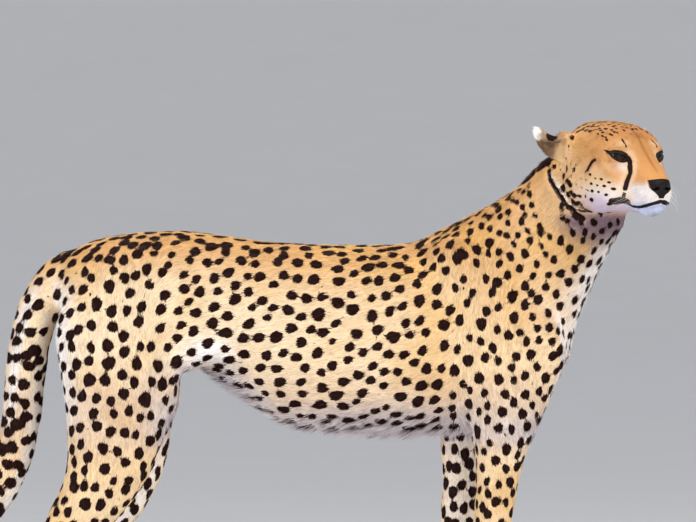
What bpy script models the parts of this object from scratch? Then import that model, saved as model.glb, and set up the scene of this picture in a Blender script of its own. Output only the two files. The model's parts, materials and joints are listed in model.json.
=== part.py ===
"""A cheetah standing still, life size, in metres, +Z up.

The animal faces +X and its left side is towards +Y. Its head is turned to its right, its tail
hangs behind the hind legs and curls up at the end, and it stands on small flats under its paws.
The whole body is made first, out to the tips of the coat, then parted by thin cuts at the joints.
"""

import math

import bmesh
import bpy
import numpy as np
from mathutils import Matrix, Vector

# ---- Sizes of the whole animal -------------------------------------------------------------
CUT = 0.0003            # width of a cut between two neighbouring pieces
VOXEL = 0.0035          # fineness at which the masses are joined into one body
FINE = 0.0022           # the same for the head and the ears
RING = 36               # points around a section
BODY_EASE = 6           # rounds of smoothing all over, and more of them above the legs
TORSO_EASE = 60
TORSO_LEVEL = 0.36
TRIANGLES_BODY = 3900
TRIANGLES_HEAD = 1600

HEAD_YAW = math.radians(-55)
HEAD_PITCH = math.radians(0)
EYES_MIDDLE = Vector((0.4475, -0.136, 0.886))
EYE_RADIUS = 0.0165
EYE_SIDE = 0.0335       # from the middle of the face to the centre of an eye
EYE_BACK = 0.0135       # from the plane of the pupils back to the centre of an eye

FORE_SIDE = 0.058       # from the middle plane to the middle of a forefoot
HIND_SIDE = 0.066
LEFT_FORE_SHIFT = -0.048    # the left forefoot stands behind the right one
LEFT_HIND_SHIFT = 0.030     # the left hind foot stands ahead of the right one
FORE_SHIFT_TOP = 0.600      # height above which a foreleg isn't shifted
HIND_SHIFT_TOP = 0.500
SHIFT_FADE = 0.140          # height over which the shift grows to its full size

FORE_PAW = {"length": 0.092, "width": 0.064, "height": 0.043}
HIND_PAW = {"length": 0.088, "width": 0.058, "height": 0.040}
FORE_HEEL_BACK = 0.030      # from the end of the leg back to the heel's end
HIND_HEEL_BACK = 0.022
# Parts of a paw, as parts of its length, width and height: middle (forward, left, up), half sizes.
HEEL = ((0.30, 0, 0.42), (0.36, 0.42, 0.46))
INSTEP = ((0.48, 0, 0.64), (0.30, 0.38, 0.42))
TOES = ((-0.3525, 0.68), (-0.1175, 0.77), (0.1175, 0.77), (0.3525, 0.68))   # left, forward
TOE_RISE = 0.36
TOE_SIZE = (0.25, 0.155, 0.40)
CLAW_PLACE = (0.21, -0.06)      # from the middle of its toe: forward, up
CLAW_SLOPE = math.radians(120)
CLAW_LENGTH = 0.011
CLAW_RADIUS = 0.0032
CLAW_TIP_RADIUS = 0.0012

# Trunk, from rump to chest: x, top, bottom, half width, and the height of the widest level.
TRUNK = (
    (-0.452, 0.698, 0.655, 0.030, 0.5),
    (-0.440, 0.732, 0.642, 0.062, 0.5),
    (-0.400, 0.756, 0.626, 0.084, 0.5),
    (-0.335, 0.769, 0.606, 0.093, 0.5),
    (-0.264, 0.773, 0.578, 0.091, 0.52),
    (-0.205, 0.766, 0.536, 0.086, 0.52),
    (-0.150, 0.759, 0.496, 0.087, 0.50),
    (-0.090, 0.754, 0.463, 0.091, 0.48),
    (-0.012, 0.751, 0.452, 0.095, 0.47),
    (0.070, 0.752, 0.447, 0.098, 0.47),
    (0.143, 0.757, 0.450, 0.098, 0.48),
    (0.210, 0.745, 0.460, 0.095, 0.50),
    (0.270, 0.720, 0.490, 0.083, 0.52),
    (0.322, 0.690, 0.532, 0.058, 0.52),
    (0.348, 0.655, 0.575, 0.026, 0.50),
)

# Neck: where the nape and the throat lie (x, z), how far the neck swings aside, half width.
NECK = (
    ((0.100, 0.755), (0.330, 0.540), 0.000, 0.086),
    ((0.143, 0.776), (0.357, 0.620), 0.000, 0.082),
    ((0.190, 0.800), (0.386, 0.688), -0.003, 0.074),
    ((0.236, 0.825), (0.409, 0.735), -0.010, 0.068),
    ((0.275, 0.853), (0.425, 0.765), -0.020, 0.064),
    ((0.305, 0.880), (0.437, 0.797), -0.030, 0.060),
    ((0.335, 0.900), (0.432, 0.830), -0.042, 0.052),
)

# Right foreleg, shoulder to wrist and knuckles: x, side, z, half depth, half width.
FORELEG = (
    (0.245, 0.052, 0.600, 0.084, 0.040),
    (0.250, 0.056, 0.545, 0.078, 0.043),
    (0.246, 0.060, 0.500, 0.064, 0.042),
    (0.238, 0.060, 0.455, 0.052, 0.038),
    (0.233, 0.059, 0.415, 0.0415, 0.034),
    (0.228, 0.058, 0.370, 0.0350, 0.031),
    (0.222, 0.058, 0.310, 0.0300, 0.028),
    (0.217, 0.058, 0.245, 0.0255, 0.0250),
    (0.215, 0.058, 0.190, 0.0265, 0.0265),
    (0.213, 0.058, 0.150, 0.0240, 0.0250),
    (0.212, 0.058, 0.105, 0.0215, 0.0240),
    (0.216, 0.058, 0.062, 0.0225, 0.0270),
    (0.226, 0.058, 0.028, 0.0230, 0.0260),
)

# Right hind leg, hip to hock and knuckles: the same columns.
HINDLEG = (
    (-0.345, 0.054, 0.690, 0.085, 0.036),
    (-0.350, 0.056, 0.630, 0.102, 0.043),
    (-0.351, 0.058, 0.570, 0.101, 0.047),
    (-0.353, 0.060, 0.515, 0.091, 0.046),
    (-0.359, 0.062, 0.462, 0.0800, 0.043),
    (-0.371, 0.064, 0.410, 0.0690, 0.039),
    (-0.394, 0.065, 0.362, 0.0560, 0.034),
    (-0.423, 0.066, 0.318, 0.0455, 0.030),
    (-0.453, 0.066, 0.272, 0.0375, 0.0260),
    (-0.478, 0.066, 0.228, 0.0335, 0.0240),
    (-0.484, 0.066, 0.190, 0.0270, 0.0235),
    (-0.480, 0.066, 0.145, 0.0220, 0.0220),
    (-0.470, 0.066, 0.095, 0.0205, 0.0220),
    (-0.460, 0.066, 0.055, 0.0210, 0.0240),
    (-0.450, 0.066, 0.026, 0.0215, 0.0240),
)

# Tail, root to tip: x, swing to the side, z, half thickness.
TAIL = (
    (-0.415, 0.000, 0.712, 0.040),
    (-0.450, 0.000, 0.690, 0.0385),
    (-0.476, 0.000, 0.650, 0.0365),
    (-0.491, 0.000, 0.600, 0.0350),
    (-0.500, 0.001, 0.540, 0.0340),
    (-0.506, 0.003, 0.480, 0.0335),
    (-0.520, 0.006, 0.415, 0.0335),
    (-0.549, 0.010, 0.358, 0.0325),
    (-0.592, 0.015, 0.306, 0.0320),
    (-0.648, 0.020, 0.270, 0.0315),
    (-0.710, 0.025, 0.258, 0.0310),
    (-0.768, 0.030, 0.272, 0.0300),
    (-0.812, 0.034, 0.308, 0.0270),
    (-0.832, 0.037, 0.345, 0.0190),
    (-0.837, 0.038, 0.361, 0.0070),
)

# Muscle masses on each side: centre (x, side, z), half sizes, tilt back in degrees.
MUSCLES = {
    "shoulder_blade": ((0.185, 0.052, 0.660), (0.070, 0.042, 0.110), -20),
    "upper_arm": ((0.254, 0.056, 0.580), (0.088, 0.040, 0.090), 25),
    "ribs": ((0.060, 0.046, 0.600), (0.180, 0.052, 0.130), 0),
    "haunch": ((-0.325, 0.054, 0.650), (0.104, 0.043, 0.100), 15),
    "buttock": ((-0.395, 0.056, 0.610), (0.062, 0.036, 0.085), 0),
    "stifle": ((-0.295, 0.066, 0.505), (0.036, 0.028, 0.062), 15),
    "calf": ((-0.405, 0.066, 0.375), (0.040, 0.028, 0.068), 25),
}
FLANK_FOLD = ((-0.232, 0.060, 0.590), (0.060, 0.026, 0.036), -25)

# Head, in its own axes (forward, left, up) from the point between the pupils. Sections from the
# nape to the nose: forward, top, bottom, half width, widest level, squareness.
HEAD = (
    (-0.158, 0.000, -0.060, 0.030, -0.030, 2.0),
    (-0.146, 0.034, -0.078, 0.047, -0.030, 2.0),
    (-0.120, 0.0505, -0.088, 0.0600, -0.030, 2.0),
    (-0.092, 0.0560, -0.091, 0.0665, -0.030, 2.1),
    (-0.064, 0.0555, -0.090, 0.0685, -0.028, 2.2),
    (-0.038, 0.0505, -0.088, 0.0655, -0.024, 2.3),
    (-0.018, 0.0415, -0.087, 0.0570, -0.022, 2.4),
    (-0.002, 0.0270, -0.087, 0.0440, -0.026, 2.4),
    (0.010, 0.0125, -0.0885, 0.0345, -0.038, 2.4),
    (0.022, -0.0010, -0.0900, 0.0305, -0.048, 2.5),
    (0.035, -0.0145, -0.0905, 0.0290, -0.054, 2.6),
    (0.0455, -0.0255, -0.0880, 0.0265, -0.057, 2.6),
    (0.0530, -0.0345, -0.0820, 0.0210, -0.058, 2.4),
    (0.0575, -0.0430, -0.0700, 0.0115, -0.057, 2.2),
)
HEAD_MIDDLE = {
    "nose": ((0.0495, 0, -0.0430), (0.0125, 0.0190, 0.0100)),
    "chin": ((0.0330, 0, -0.0840), (0.0225, 0.0190, 0.0130)),
    "forehead": ((-0.032, 0, 0.0150), (0.0360, 0.0380, 0.0270)),
}
HEAD_SIDES = {
    "brow": ((-0.015, 0.0285, 0.0125), (0.0220, 0.0200, 0.0115)),
    "lids": ((-0.0130, 0.0335, -0.0005), (0.0180, 0.0190, 0.0180)),
    "cheekbone": ((-0.040, 0.041, -0.024), (0.042, 0.0240, 0.0240)),
    "ruff": ((-0.100, 0.038, -0.045), (0.040, 0.0320, 0.0460)),
    "jowl": ((-0.055, 0.036, -0.062), (0.050, 0.0270, 0.0290)),
    "whisker_pad": ((0.0325, 0.0145, -0.0580), (0.0220, 0.0185, 0.0160)),
    "ear_root": ((-0.104, 0.047, 0.008), (0.026, 0.0220, 0.0300)),
}
HEAD_EASE = 14

# Ears, laid back and out: base and tip in the head's axes, half width, half thickness.
EAR_BASE = Vector((-0.106, 0.056, 0.004))
EAR_TIP = Vector((-0.129, 0.100, 0.041))
EAR_TAPER = 0.32        # how much narrower the ear gets from its middle to its tip
EAR_FACING = Vector((0.70, 0.60, -0.25))
EAR_HALF_WIDTH = 0.0275
EAR_THICKNESS = 0.0105
EAR_MIDDLE = 0.42       # where its middle lies, as a part of the way from base to tip
EAR_HALF_LENGTH = 0.60
EAR_SCOOP = (0.74, 0.74, 1.10)  # the hollow's sizes, as parts of the ear's
EAR_SCOOP_RISE = 0.90

# Opening between the lids: half depth, half width, half height, and how far its middle turns out.
EYE_OPENING = (0.0100, 0.0135, 0.0078)
EYE_TURN = math.radians(24)
EYE_SLANT = math.radians(14)

# ---- Where the body is parted ----------------------------------------------------------------
# Each flat cut: a point on it, the way it faces, and half its length and width.
TAIL_ROOT_X = -0.4635
ROOT_CUT = ((TAIL_ROOT_X, 0, 0.650), (1, 0, 0), 0.125, 0.125)
TRUNK_CUTS = {
    "neck": ((0.262, 0, 0.685), (0.59, 0, 0.807), 0.20, 0.24),
    "chest": ((0.105, 0, 0.62), (1, 0, 0), 0.20, 0.20),
    "loins": ((-0.190, 0, 0.65), (1, 0, -0.35), 0.20, 0.20),
}
HEAD_CUT = ((-0.142, 0, 0), (0.866, 0, 0.5), 0.16, 0.16)    # in the head's axes
TAIL_CUTS = (0.36, 0.50, 0.64, 0.80)                        # as parts of the tail's length
TAIL_CUT_HALF = 0.042
FORE_CUTS = {"forearm": 0.432, "wrist": 0.165, "paw": 0.062}        # heights
FORE_CUT_HALF = (0.060, 0.056)
HIND_CUTS = {"shank": 0.400, "metatarsus": 0.185, "paw": 0.058}
HIND_CUT_HALF = (0.085, 0.064)
THIGH_CUT = ((-0.212, 0.5365), (TAIL_ROOT_X, 0.6250))   # from the flank fold up to the tail root
THIGH_CUT_WIDTH = 0.13
EAR_CUT = (0.072, 0.040)    # across the ear and through it
EAR_CUT_AT = 0.35           # as a part of the ear's length
SLIVER = 0.0045             # an edge shorter than this is welded away
NEAREST_NAME = 0.12         # how far a piece's middle may lie from the point that names it

COLOURS = {
    "coat": ((0.62, 0.36, 0.13), 0.85),
    "pale_coat": ((0.72, 0.62, 0.48), 0.85),
    "eye": ((0.12, 0.05, 0.015), 0.10),
}


LEFT = Vector((0, 1, 0))
UP = Vector((0, 0, 1))


# ---- Helpers -------------------------------------------------------------------------------
def clear_scene():
    for thing in list(bpy.data.objects):
        bpy.data.objects.remove(thing, do_unlink=True)


def refine(rows, steps):
    """Rows of numbers joined by a smooth curve through every row."""
    rows = np.array(rows, float)
    gaps = np.linalg.norm(np.diff(rows[:, :3], axis=0), axis=1)
    at = np.concatenate([[0.0], np.cumsum(gaps)])
    slopes = np.gradient(rows, at, axis=0)
    found = []
    for i in range(len(rows) - 1):
        span = at[i + 1] - at[i]
        for t in np.arange(steps) / steps:
            passed = t * t * (3 - 2 * t)
            point = rows[i] * (1 - passed) + rows[i + 1] * passed
            point = point + slopes[i] * t * (1 - t) ** 2 * span
            found.append(point + slopes[i + 1] * t * t * (t - 1) * span)
    found.append(rows[-1])
    return np.array(found)


def loft(bm, rings):
    """A closed skin over rings of the same number of points, with a fan at each end."""
    made = [[bm.verts.new(point) for point in ring] for ring in rings]
    for low, high in zip(made, made[1:]):
        for i in range(len(low)):
            j = (i + 1) % len(low)
            bm.faces.new((low[i], low[j], high[j], high[i]))
    bm.faces.new(made[0][::-1])
    bm.faces.new(made[-1])


def section(centre, side, up, half_side, half_up, half_down, squareness=2.0):
    """An egg-shaped ring: half_up above its widest level and half_down below it."""
    ring = []
    for k in range(RING):
        turn = 2 * math.pi * k / RING
        out, rise = math.sin(turn), math.cos(turn)
        out = math.copysign(abs(out) ** (2 / squareness), out) * half_side
        rise = math.copysign(abs(rise) ** (2 / squareness), rise) * (half_up if rise > 0 else half_down)
        ring.append(centre + side * out + up * rise)
    return ring


def add_trunk(bm):
    rings = []
    for x, top, bottom, half_width, widest in refine(TRUNK, 4):
        level = bottom + widest * (top - bottom)
        centre = Vector((x, 0, level))
        rings.append(section(centre, LEFT, UP, half_width, top - level, level - bottom))
    loft(bm, rings)


def add_neck(bm):
    rows = [(*nape, *throat, swing, half_width) for nape, throat, swing, half_width in NECK]
    rings = []
    for nape_x, nape_z, throat_x, throat_z, swing, half_width in refine(rows, 5):
        nape = Vector((nape_x, swing, nape_z))
        throat = Vector((throat_x, swing, throat_z))
        centre = throat.lerp(nape, 0.52)
        up = (nape - throat).normalized()
        above, below = (nape - centre).length, (throat - centre).length
        rings.append(section(centre, LEFT, up, half_width, above, below))
    loft(bm, rings)


def shift_at(z, side, left_shift, shift_top):
    """How far forward a left leg is moved at height z. A right leg isn't moved."""
    if side < 0:
        return 0.0
    return left_shift * min(1.0, max(0.0, (shift_top - z) / SHIFT_FADE))


def add_limb(bm, rows, side, left_shift, shift_top):
    """A leg whose rows give x, side, z, half depth, half width."""
    bent = []
    for x, out, z, depth, width in rows:
        bent.append((x + shift_at(z, side, left_shift, shift_top), out * side, z, depth, width))
    fine = refine(bent, 5)
    middles = [Vector(row[:3]) for row in fine]
    rings = []
    for i, (x, y, z, depth, width) in enumerate(fine):
        along = (middles[min(i + 1, len(middles) - 1)] - middles[max(i - 1, 0)]).normalized()
        fore = LEFT.cross(along).normalized()
        rings.append(section(middles[i], along.cross(fore), fore, width, depth, depth))
    loft(bm, rings)


def add_tail(bm):
    fine = refine(TAIL, 5)
    middles = [Vector(row[:3]) for row in fine]
    rings = []
    for i, row in enumerate(fine):
        along = (middles[min(i + 1, len(middles) - 1)] - middles[max(i - 1, 0)]).normalized()
        up = LEFT.cross(along).normalized()
        rings.append(section(middles[i], along.cross(up), up, row[3], row[3], row[3]))
    loft(bm, rings)


def add_ellipsoid(bm, centre, sizes, turn=Matrix.Identity(3), taper=0.0):
    """An ellipsoid, narrower across its second axis towards the end of its first one by taper."""
    ball = bmesh.ops.create_uvsphere(bm, u_segments=32, v_segments=20, radius=1)["verts"]
    for vert in ball:
        vert.co.y *= 1 - taper * vert.co.x
    place = Matrix.Translation(centre) @ turn.to_4x4() @ Matrix.Diagonal((*sizes, 1))
    bmesh.ops.transform(bm, matrix=place, verts=ball)


def add_muscles(bm):
    for side in (-1, 1):
        for (x, out, z), sizes, tilt in [*MUSCLES.values(), FLANK_FOLD]:
            turn = Matrix.Rotation(math.radians(tilt), 3, "Y")
            add_ellipsoid(bm, Vector((x, out * side, z)), sizes, turn)


def add_paw(bm, x, y, paw):
    """A heel, an instep and four toes with claws. x is the heel's end."""
    length, width, height = paw["length"], paw["width"], paw["height"]

    def add_part(centre, sizes):
        place = Vector((x + centre[0] * length, y + centre[1] * width, centre[2] * height))
        add_ellipsoid(bm, place, (sizes[0] * length, sizes[1] * width, sizes[2] * height))
        return place

    add_part(*HEEL)
    add_part(*INSTEP)
    for across, reach in TOES:
        middle = add_part((reach, across, TOE_RISE), TOE_SIZE)
        tip = middle + Vector((CLAW_PLACE[0] * length, 0, CLAW_PLACE[1] * height))
        bmesh.ops.create_cone(
            bm, cap_ends=True, segments=10, radius1=CLAW_RADIUS, radius2=CLAW_TIP_RADIUS,
            depth=CLAW_LENGTH, matrix=Matrix.Translation(tip) @ Matrix.Rotation(CLAW_SLOPE, 4, "Y"),
        )


def head_matrix():
    turn = Matrix.Rotation(HEAD_YAW, 4, "Z") @ Matrix.Rotation(HEAD_PITCH, 4, "Y")
    return Matrix.Translation(EYES_MIDDLE) @ turn


def add_head(bm):
    rings = []
    for forward, top, bottom, half_width, widest, squareness in refine(HEAD, 4):
        centre = Vector((forward, 0, widest))
        above, below = top - widest, widest - bottom
        rings.append(section(centre, LEFT, UP, half_width, above, below, squareness))
    loft(bm, rings)
    for centre, sizes in HEAD_MIDDLE.values():
        add_ellipsoid(bm, Vector(centre), sizes)
    for side in (-1, 1):
        for centre, sizes in HEAD_SIDES.values():
            add_ellipsoid(bm, Vector((centre[0], centre[1] * side, centre[2])), sizes)


def eye_turn(side):
    """Axes of an eye: where it looks, across it towards its outer corner, and up."""
    return Matrix.Rotation(EYE_TURN * side, 3, "Z") @ Matrix.Rotation(EYE_SLANT * side, 3, "X")


def add_eye_opening(bm, side):
    turn = eye_turn(side)
    middle = Vector((-EYE_BACK, EYE_SIDE * side, 0)) + turn.col[0] * EYE_RADIUS * 1.02
    add_ellipsoid(bm, middle, EYE_OPENING, turn)


def ear_frame(side):
    """Axes of an ear: along it, across it, and the way its cup faces."""
    mirror = Vector((1, side, 1))
    base, tip = EAR_BASE * mirror, EAR_TIP * mirror
    along = (tip - base).normalized()
    facing = EAR_FACING * mirror
    facing = (facing - along * facing.dot(along)).normalized()
    across = facing.cross(along)
    turn = Matrix((along, across, facing)).transposed()
    return base, tip, turn


def make_ear(side):
    """A rounded, thick-walled ear: an ellipsoid with a smaller one taken out of its front."""
    base, tip, turn = ear_frame(side)
    length = (tip - base).length
    middle = base.lerp(tip, EAR_MIDDLE)
    sizes = (EAR_HALF_LENGTH * length, EAR_HALF_WIDTH, EAR_THICKNESS)
    outer = new_object("ear_form", lambda bm: add_ellipsoid(bm, middle, sizes, turn, EAR_TAPER))
    scoop_sizes = [size * part for size, part in zip(sizes, EAR_SCOOP)]
    scoop_at = middle + turn.col[2] * EAR_THICKNESS * EAR_SCOOP_RISE
    scoop = new_object("ear_scoop", lambda bm: add_ellipsoid(bm, scoop_at, scoop_sizes, turn, EAR_TAPER))
    cut = outer.modifiers.new("cup", "BOOLEAN")
    cut.object = scoop
    cut.operation = "DIFFERENCE"
    settle(outer)
    bpy.data.objects.remove(scoop, do_unlink=True)
    return outer


def open_eyes(whole):
    """Cuts the opening between the lids of each eye."""
    for side in (-1, 1):
        opening = new_object("opening", lambda bm: add_eye_opening(bm, side))
        opening.data.transform(head_matrix())
        cut = whole.modifiers.new("opening", "BOOLEAN")
        cut.object = opening
        cut.operation = "DIFFERENCE"
        settle(whole)
        bpy.data.objects.remove(opening, do_unlink=True)


def new_object(name, build, collection=None):
    mesh = bpy.data.meshes.new(name)
    bm = bmesh.new()
    build(bm)
    bmesh.ops.recalc_face_normals(bm, faces=bm.faces)
    bm.to_mesh(mesh)
    bm.free()
    made = bpy.data.objects.new(name, mesh)
    (collection or bpy.context.scene.collection).objects.link(made)
    return made


def settle(thing):
    """Puts the object's modifiers and its place into its mesh."""
    bpy.context.view_layer.update()
    graph = bpy.context.evaluated_depsgraph_get()
    mesh = bpy.data.meshes.new_from_object(thing.evaluated_get(graph))
    mesh.transform(thing.matrix_world)
    thing.modifiers.clear()
    thing.data = mesh
    thing.matrix_world = Matrix.Identity(4)


def remesh(thing, voxel, rounds):
    """Joins the masses of one object into a single skin and eases the creases between them."""
    join = thing.modifiers.new("join", "REMESH")
    join.mode = "VOXEL"
    join.voxel_size = voxel
    ease(thing, rounds)


def ease(thing, rounds, above=None):
    """Rounds of smoothing, only on what is above a height if one is given."""
    settle(thing)
    relax = thing.modifiers.new("ease", "SMOOTH")
    relax.factor = 0.5
    relax.iterations = rounds
    if above is not None:
        heights = corner_array(thing.data)[:, 2]
        group = thing.vertex_groups.new(name="ease")
        group.add(np.flatnonzero(heights > above).tolist(), 1.0, "REPLACE")
        relax.vertex_group = group.name
    settle(thing)


def merge(name, things):
    """One object that holds the meshes of several."""
    bm = bmesh.new()
    for thing in things:
        bm.from_mesh(thing.data)
        bpy.data.objects.remove(thing, do_unlink=True)
    mesh = bpy.data.meshes.new(name)
    bm.to_mesh(mesh)
    bm.free()
    made = bpy.data.objects.new(name, mesh)
    bpy.context.scene.collection.objects.link(made)
    return made


def corner_array(mesh):
    corners = np.empty(len(mesh.vertices) * 3, np.float32)
    mesh.vertices.foreach_get("co", corners)
    return corners.reshape(-1, 3)


def on_head(points):
    """Which points belong to the head, by the head's own axes."""
    turn = np.array(head_matrix().inverted())
    forward = points @ turn[0, :3] + turn[0, 3]
    return (forward > -0.15) & (points[:, 2] > 0.77)


def thin(thing, keep_head, target):
    """Thins the head's triangles, or all the others, down to about target of them."""
    chosen = on_head(corner_array(thing.data)) == keep_head
    group = thing.vertex_groups.new(name="thin")
    group.add(np.flatnonzero(chosen).tolist(), 1.0, "REPLACE")
    thing.data.calc_loop_triangles()
    corners = np.empty(len(thing.data.loop_triangles) * 3, np.int32)
    thing.data.loop_triangles.foreach_get("vertices", corners)
    touched = int(chosen[corners.reshape(-1, 3)].all(axis=1).sum())
    total = len(thing.data.loop_triangles)
    fewer = thing.modifiers.new("thin", "DECIMATE")
    fewer.ratio = (total - touched + target) / total
    fewer.vertex_group = group.name
    fewer.use_collapse_triangulate = True
    settle(thing)


# ---- The whole body ------------------------------------------------------------------------
def hind_heel(side):
    return HINDLEG[-1][0] - HIND_HEEL_BACK + shift_at(0, side, LEFT_HIND_SHIFT, HIND_SHIFT_TOP)


def fore_heel(side):
    return FORELEG[-1][0] - FORE_HEEL_BACK + shift_at(0, side, LEFT_FORE_SHIFT, FORE_SHIFT_TOP)


def build_body(bm):
    add_trunk(bm)
    add_neck(bm)
    add_tail(bm)
    add_muscles(bm)
    for side in (-1, 1):
        add_limb(bm, FORELEG, side, LEFT_FORE_SHIFT, FORE_SHIFT_TOP)
        add_limb(bm, HINDLEG, side, LEFT_HIND_SHIFT, HIND_SHIFT_TOP)
        add_paw(bm, fore_heel(side), FORE_SIDE * side, FORE_PAW)
        add_paw(bm, hind_heel(side), HIND_SIDE * side, HIND_PAW)


def build_whole():
    """The animal as one skin, with flats where the paws meet the floor."""
    head = new_object("head_form", add_head)
    remesh(head, FINE, HEAD_EASE)
    ears = [make_ear(side) for side in (-1, 1)]
    head = merge("head_form", [head, *ears])
    head.matrix_world = head_matrix()
    settle(head)
    remesh(head, FINE, 2)
    body = new_object("body_form", build_body)
    remesh(body, VOXEL, BODY_EASE)
    ease(body, TORSO_EASE, above=TORSO_LEVEL)
    whole = merge("whole", [body, head])
    remesh(whole, FINE * 1.2, 3)
    thin(whole, False, TRIANGLES_BODY)
    open_eyes(whole)
    thin(whole, True, TRIANGLES_HEAD)
    bm = bmesh.new()
    bm.from_mesh(whole.data)
    geometry = bm.verts[:] + bm.edges[:] + bm.faces[:]
    bmesh.ops.bisect_plane(bm, geom=geometry, plane_co=(0, 0, 0), plane_no=(0, 0, 1), clear_inner=True)
    rim = [edge for edge in bm.edges if edge.is_boundary]
    bmesh.ops.holes_fill(bm, edges=rim, sides=0)
    bmesh.ops.triangulate(bm, faces=bm.faces)
    bm.to_mesh(whole.data)
    bm.free()
    return whole


# ---- Parting into named pieces ---------------------------------------------------------------
def slab(bm, centre, normal, half_a, half_b):
    """A thin box across a joint."""
    turn = Vector(normal).to_track_quat("Z", "Y").to_matrix().to_4x4()
    size = Matrix.Diagonal((2 * half_a, 2 * half_b, CUT, 1))
    place = Matrix.Translation(Vector(centre)) @ turn @ size
    bmesh.ops.create_cube(bm, size=1, matrix=place)


def slope_slab(bm, front, back, side):
    """A thin box from front to back, two points as x, z, over the whole width of one leg."""
    front, back = Vector((front[0], 0, front[1])), Vector((back[0], 0, back[1]))
    along = (front - back).normalized()
    turn = Matrix((along, LEFT, along.cross(LEFT))).transposed().to_4x4()
    middle = (front + back) / 2 + LEFT * side * THIGH_CUT_WIDTH / 2
    size = Matrix.Diagonal(((front - back).length, THIGH_CUT_WIDTH - 2 * CUT, CUT, 1))
    bmesh.ops.create_cube(bm, size=1, matrix=Matrix.Translation(middle) @ turn @ size)


def row_at(rows, z, side, left_shift, shift_top):
    """Middle of a leg at height z."""
    fine = refine(rows, 8)
    row = fine[np.argmin(np.abs(fine[:, 2] - z))]
    return Vector((row[0] + shift_at(z, side, left_shift, shift_top), row[1] * side, z))


def foreleg_at(z, side):
    return row_at(FORELEG, z, side, LEFT_FORE_SHIFT, FORE_SHIFT_TOP)


def hindleg_at(z, side):
    return row_at(HINDLEG, z, side, LEFT_HIND_SHIFT, HIND_SHIFT_TOP)


def tail_point(part):
    fine = refine(TAIL, 12)
    i = int(part * (len(fine) - 1))
    along = Vector(fine[i + 1][:3]) - Vector(fine[i - 1][:3])
    return Vector(fine[i][:3]), along.normalized()


def build_root_cut(bm):
    slab(bm, *ROOT_CUT)


def build_ear_cuts(bm):
    head = head_matrix()
    for side in (-1, 1):
        base, tip, turn = ear_frame(side)
        place = head @ Matrix.Translation(base.lerp(tip, EAR_CUT_AT)) @ turn.to_4x4()
        size = Matrix.Diagonal((CUT, *EAR_CUT, 1))
        bmesh.ops.create_cube(bm, size=1, matrix=place @ size)


def build_cuts(bm):
    head = head_matrix()
    at, facing, half_a, half_b = HEAD_CUT
    slab(bm, head @ Vector(at), head.to_3x3() @ Vector(facing), half_a, half_b)
    for cut in TRUNK_CUTS.values():
        slab(bm, *cut)
    for part in TAIL_CUTS:
        centre, along = tail_point(part)
        slab(bm, centre, along, TAIL_CUT_HALF, TAIL_CUT_HALF)
    for side in (-1, 1):
        slope_slab(bm, *THIGH_CUT, side)
        for z in FORE_CUTS.values():
            slab(bm, foreleg_at(z, side), UP, *FORE_CUT_HALF)
        for z in HIND_CUTS.values():
            slab(bm, hindleg_at(z, side), UP, *HIND_CUT_HALF)


def loose_groups(bm):
    """The faces of a mesh in lists, one for each loose piece."""
    seen = set()
    for face in bm.faces:
        if face in seen:
            continue
        group, waiting = [], [face]
        seen.add(face)
        while waiting:
            one = waiting.pop()
            group.append(one)
            near = {other for edge in one.edges for other in edge.link_faces} - seen
            seen |= near
            waiting.extend(near)
        yield group


def islands(thing):
    """The loose pieces of a mesh, each as a new bmesh."""
    source = bmesh.new()
    source.from_mesh(thing.data)
    found = []
    for group in loose_groups(source):
        piece = bmesh.new()
        copies = {}
        for vert in sorted({vert for face in group for vert in face.verts}, key=lambda v: v.index):
            copies[vert] = piece.verts.new(vert.co)
        for face in sorted(group, key=lambda f: f.index):
            piece.faces.new([copies[vert] for vert in face.verts])
        found.append(piece)
    source.free()
    return found


def drop_slivers(bm):
    """Welds the ends of very short edges, leaving each corner of a cut in the plane of its cut."""
    small = [face for face in bm.faces if len(face.verts) == 4]
    bmesh.ops.triangulate(bm, faces=small)
    for _ in range(4):
        bm.verts.index_update()
        bm.faces.index_update()
        flats = {}
        for vert in bm.verts:
            flats[vert] = {face for face in vert.link_faces if len(face.verts) > 4}
            if vert.co.z < CUT:
                flats[vert].add("floor")
        short = sorted((edge.calc_length(), edge.verts[0].index, edge) for edge in bm.edges)
        targets, touched = {}, set()
        for length, _, edge in short:
            if length > SLIVER:
                break
            kept, dropped = edge.verts
            if not flats[dropped] <= flats[kept]:
                kept, dropped = dropped, kept
            around = [{other for e in vert.link_edges for other in e.verts} for vert in (kept, dropped)]
            shared = (around[0] & around[1]) - {kept, dropped}
            triangles = sum(len(face.verts) == 3 for face in edge.link_faces)
            if not flats[dropped] <= flats[kept] or len(shared) != triangles:
                continue
            if (around[0] | around[1]) & touched:
                continue
            targets[dropped] = kept
            touched |= around[0] | around[1]
        if not targets:
            break
        bmesh.ops.weld_verts(bm, targetmap=targets)


def name_points():
    """A point inside each piece, by the name of the piece."""
    head = head_matrix()
    points = {
        "head": head @ Vector((-0.05, 0, -0.02)),
        "neck": Vector((0.310, -0.010, 0.770)),
        "chest": Vector((0.200, 0, 0.600)),
        "belly": Vector((-0.030, 0, 0.610)),
        "rump": Vector((-0.340, 0, 0.670)),
    }
    ends = (0.10, *TAIL_CUTS, 1.0)
    for number, (start, end) in enumerate(zip(ends, ends[1:]), 1):
        points[f"tail_{number}"] = tail_point(min(0.97, (start + end) / 2))[0]
    for side, word in ((-1, "right"), (1, "left")):
        base, tip, _ = ear_frame(side)
        points[f"ear_{word}"] = head @ base.lerp(tip, 0.65)
        points[f"hindleg_{word}_thigh"] = hindleg_at(0.50, side)
        for leg, leg_at, cuts in (("foreleg", foreleg_at, FORE_CUTS), ("hindleg", hindleg_at, HIND_CUTS)):
            levels = [*cuts.values(), 0.0]
            for name, high, low in zip(cuts, levels, levels[1:]):
                points[f"{leg}_{word}_{name}"] = leg_at((high + low) / 2, side)
    return points


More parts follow.
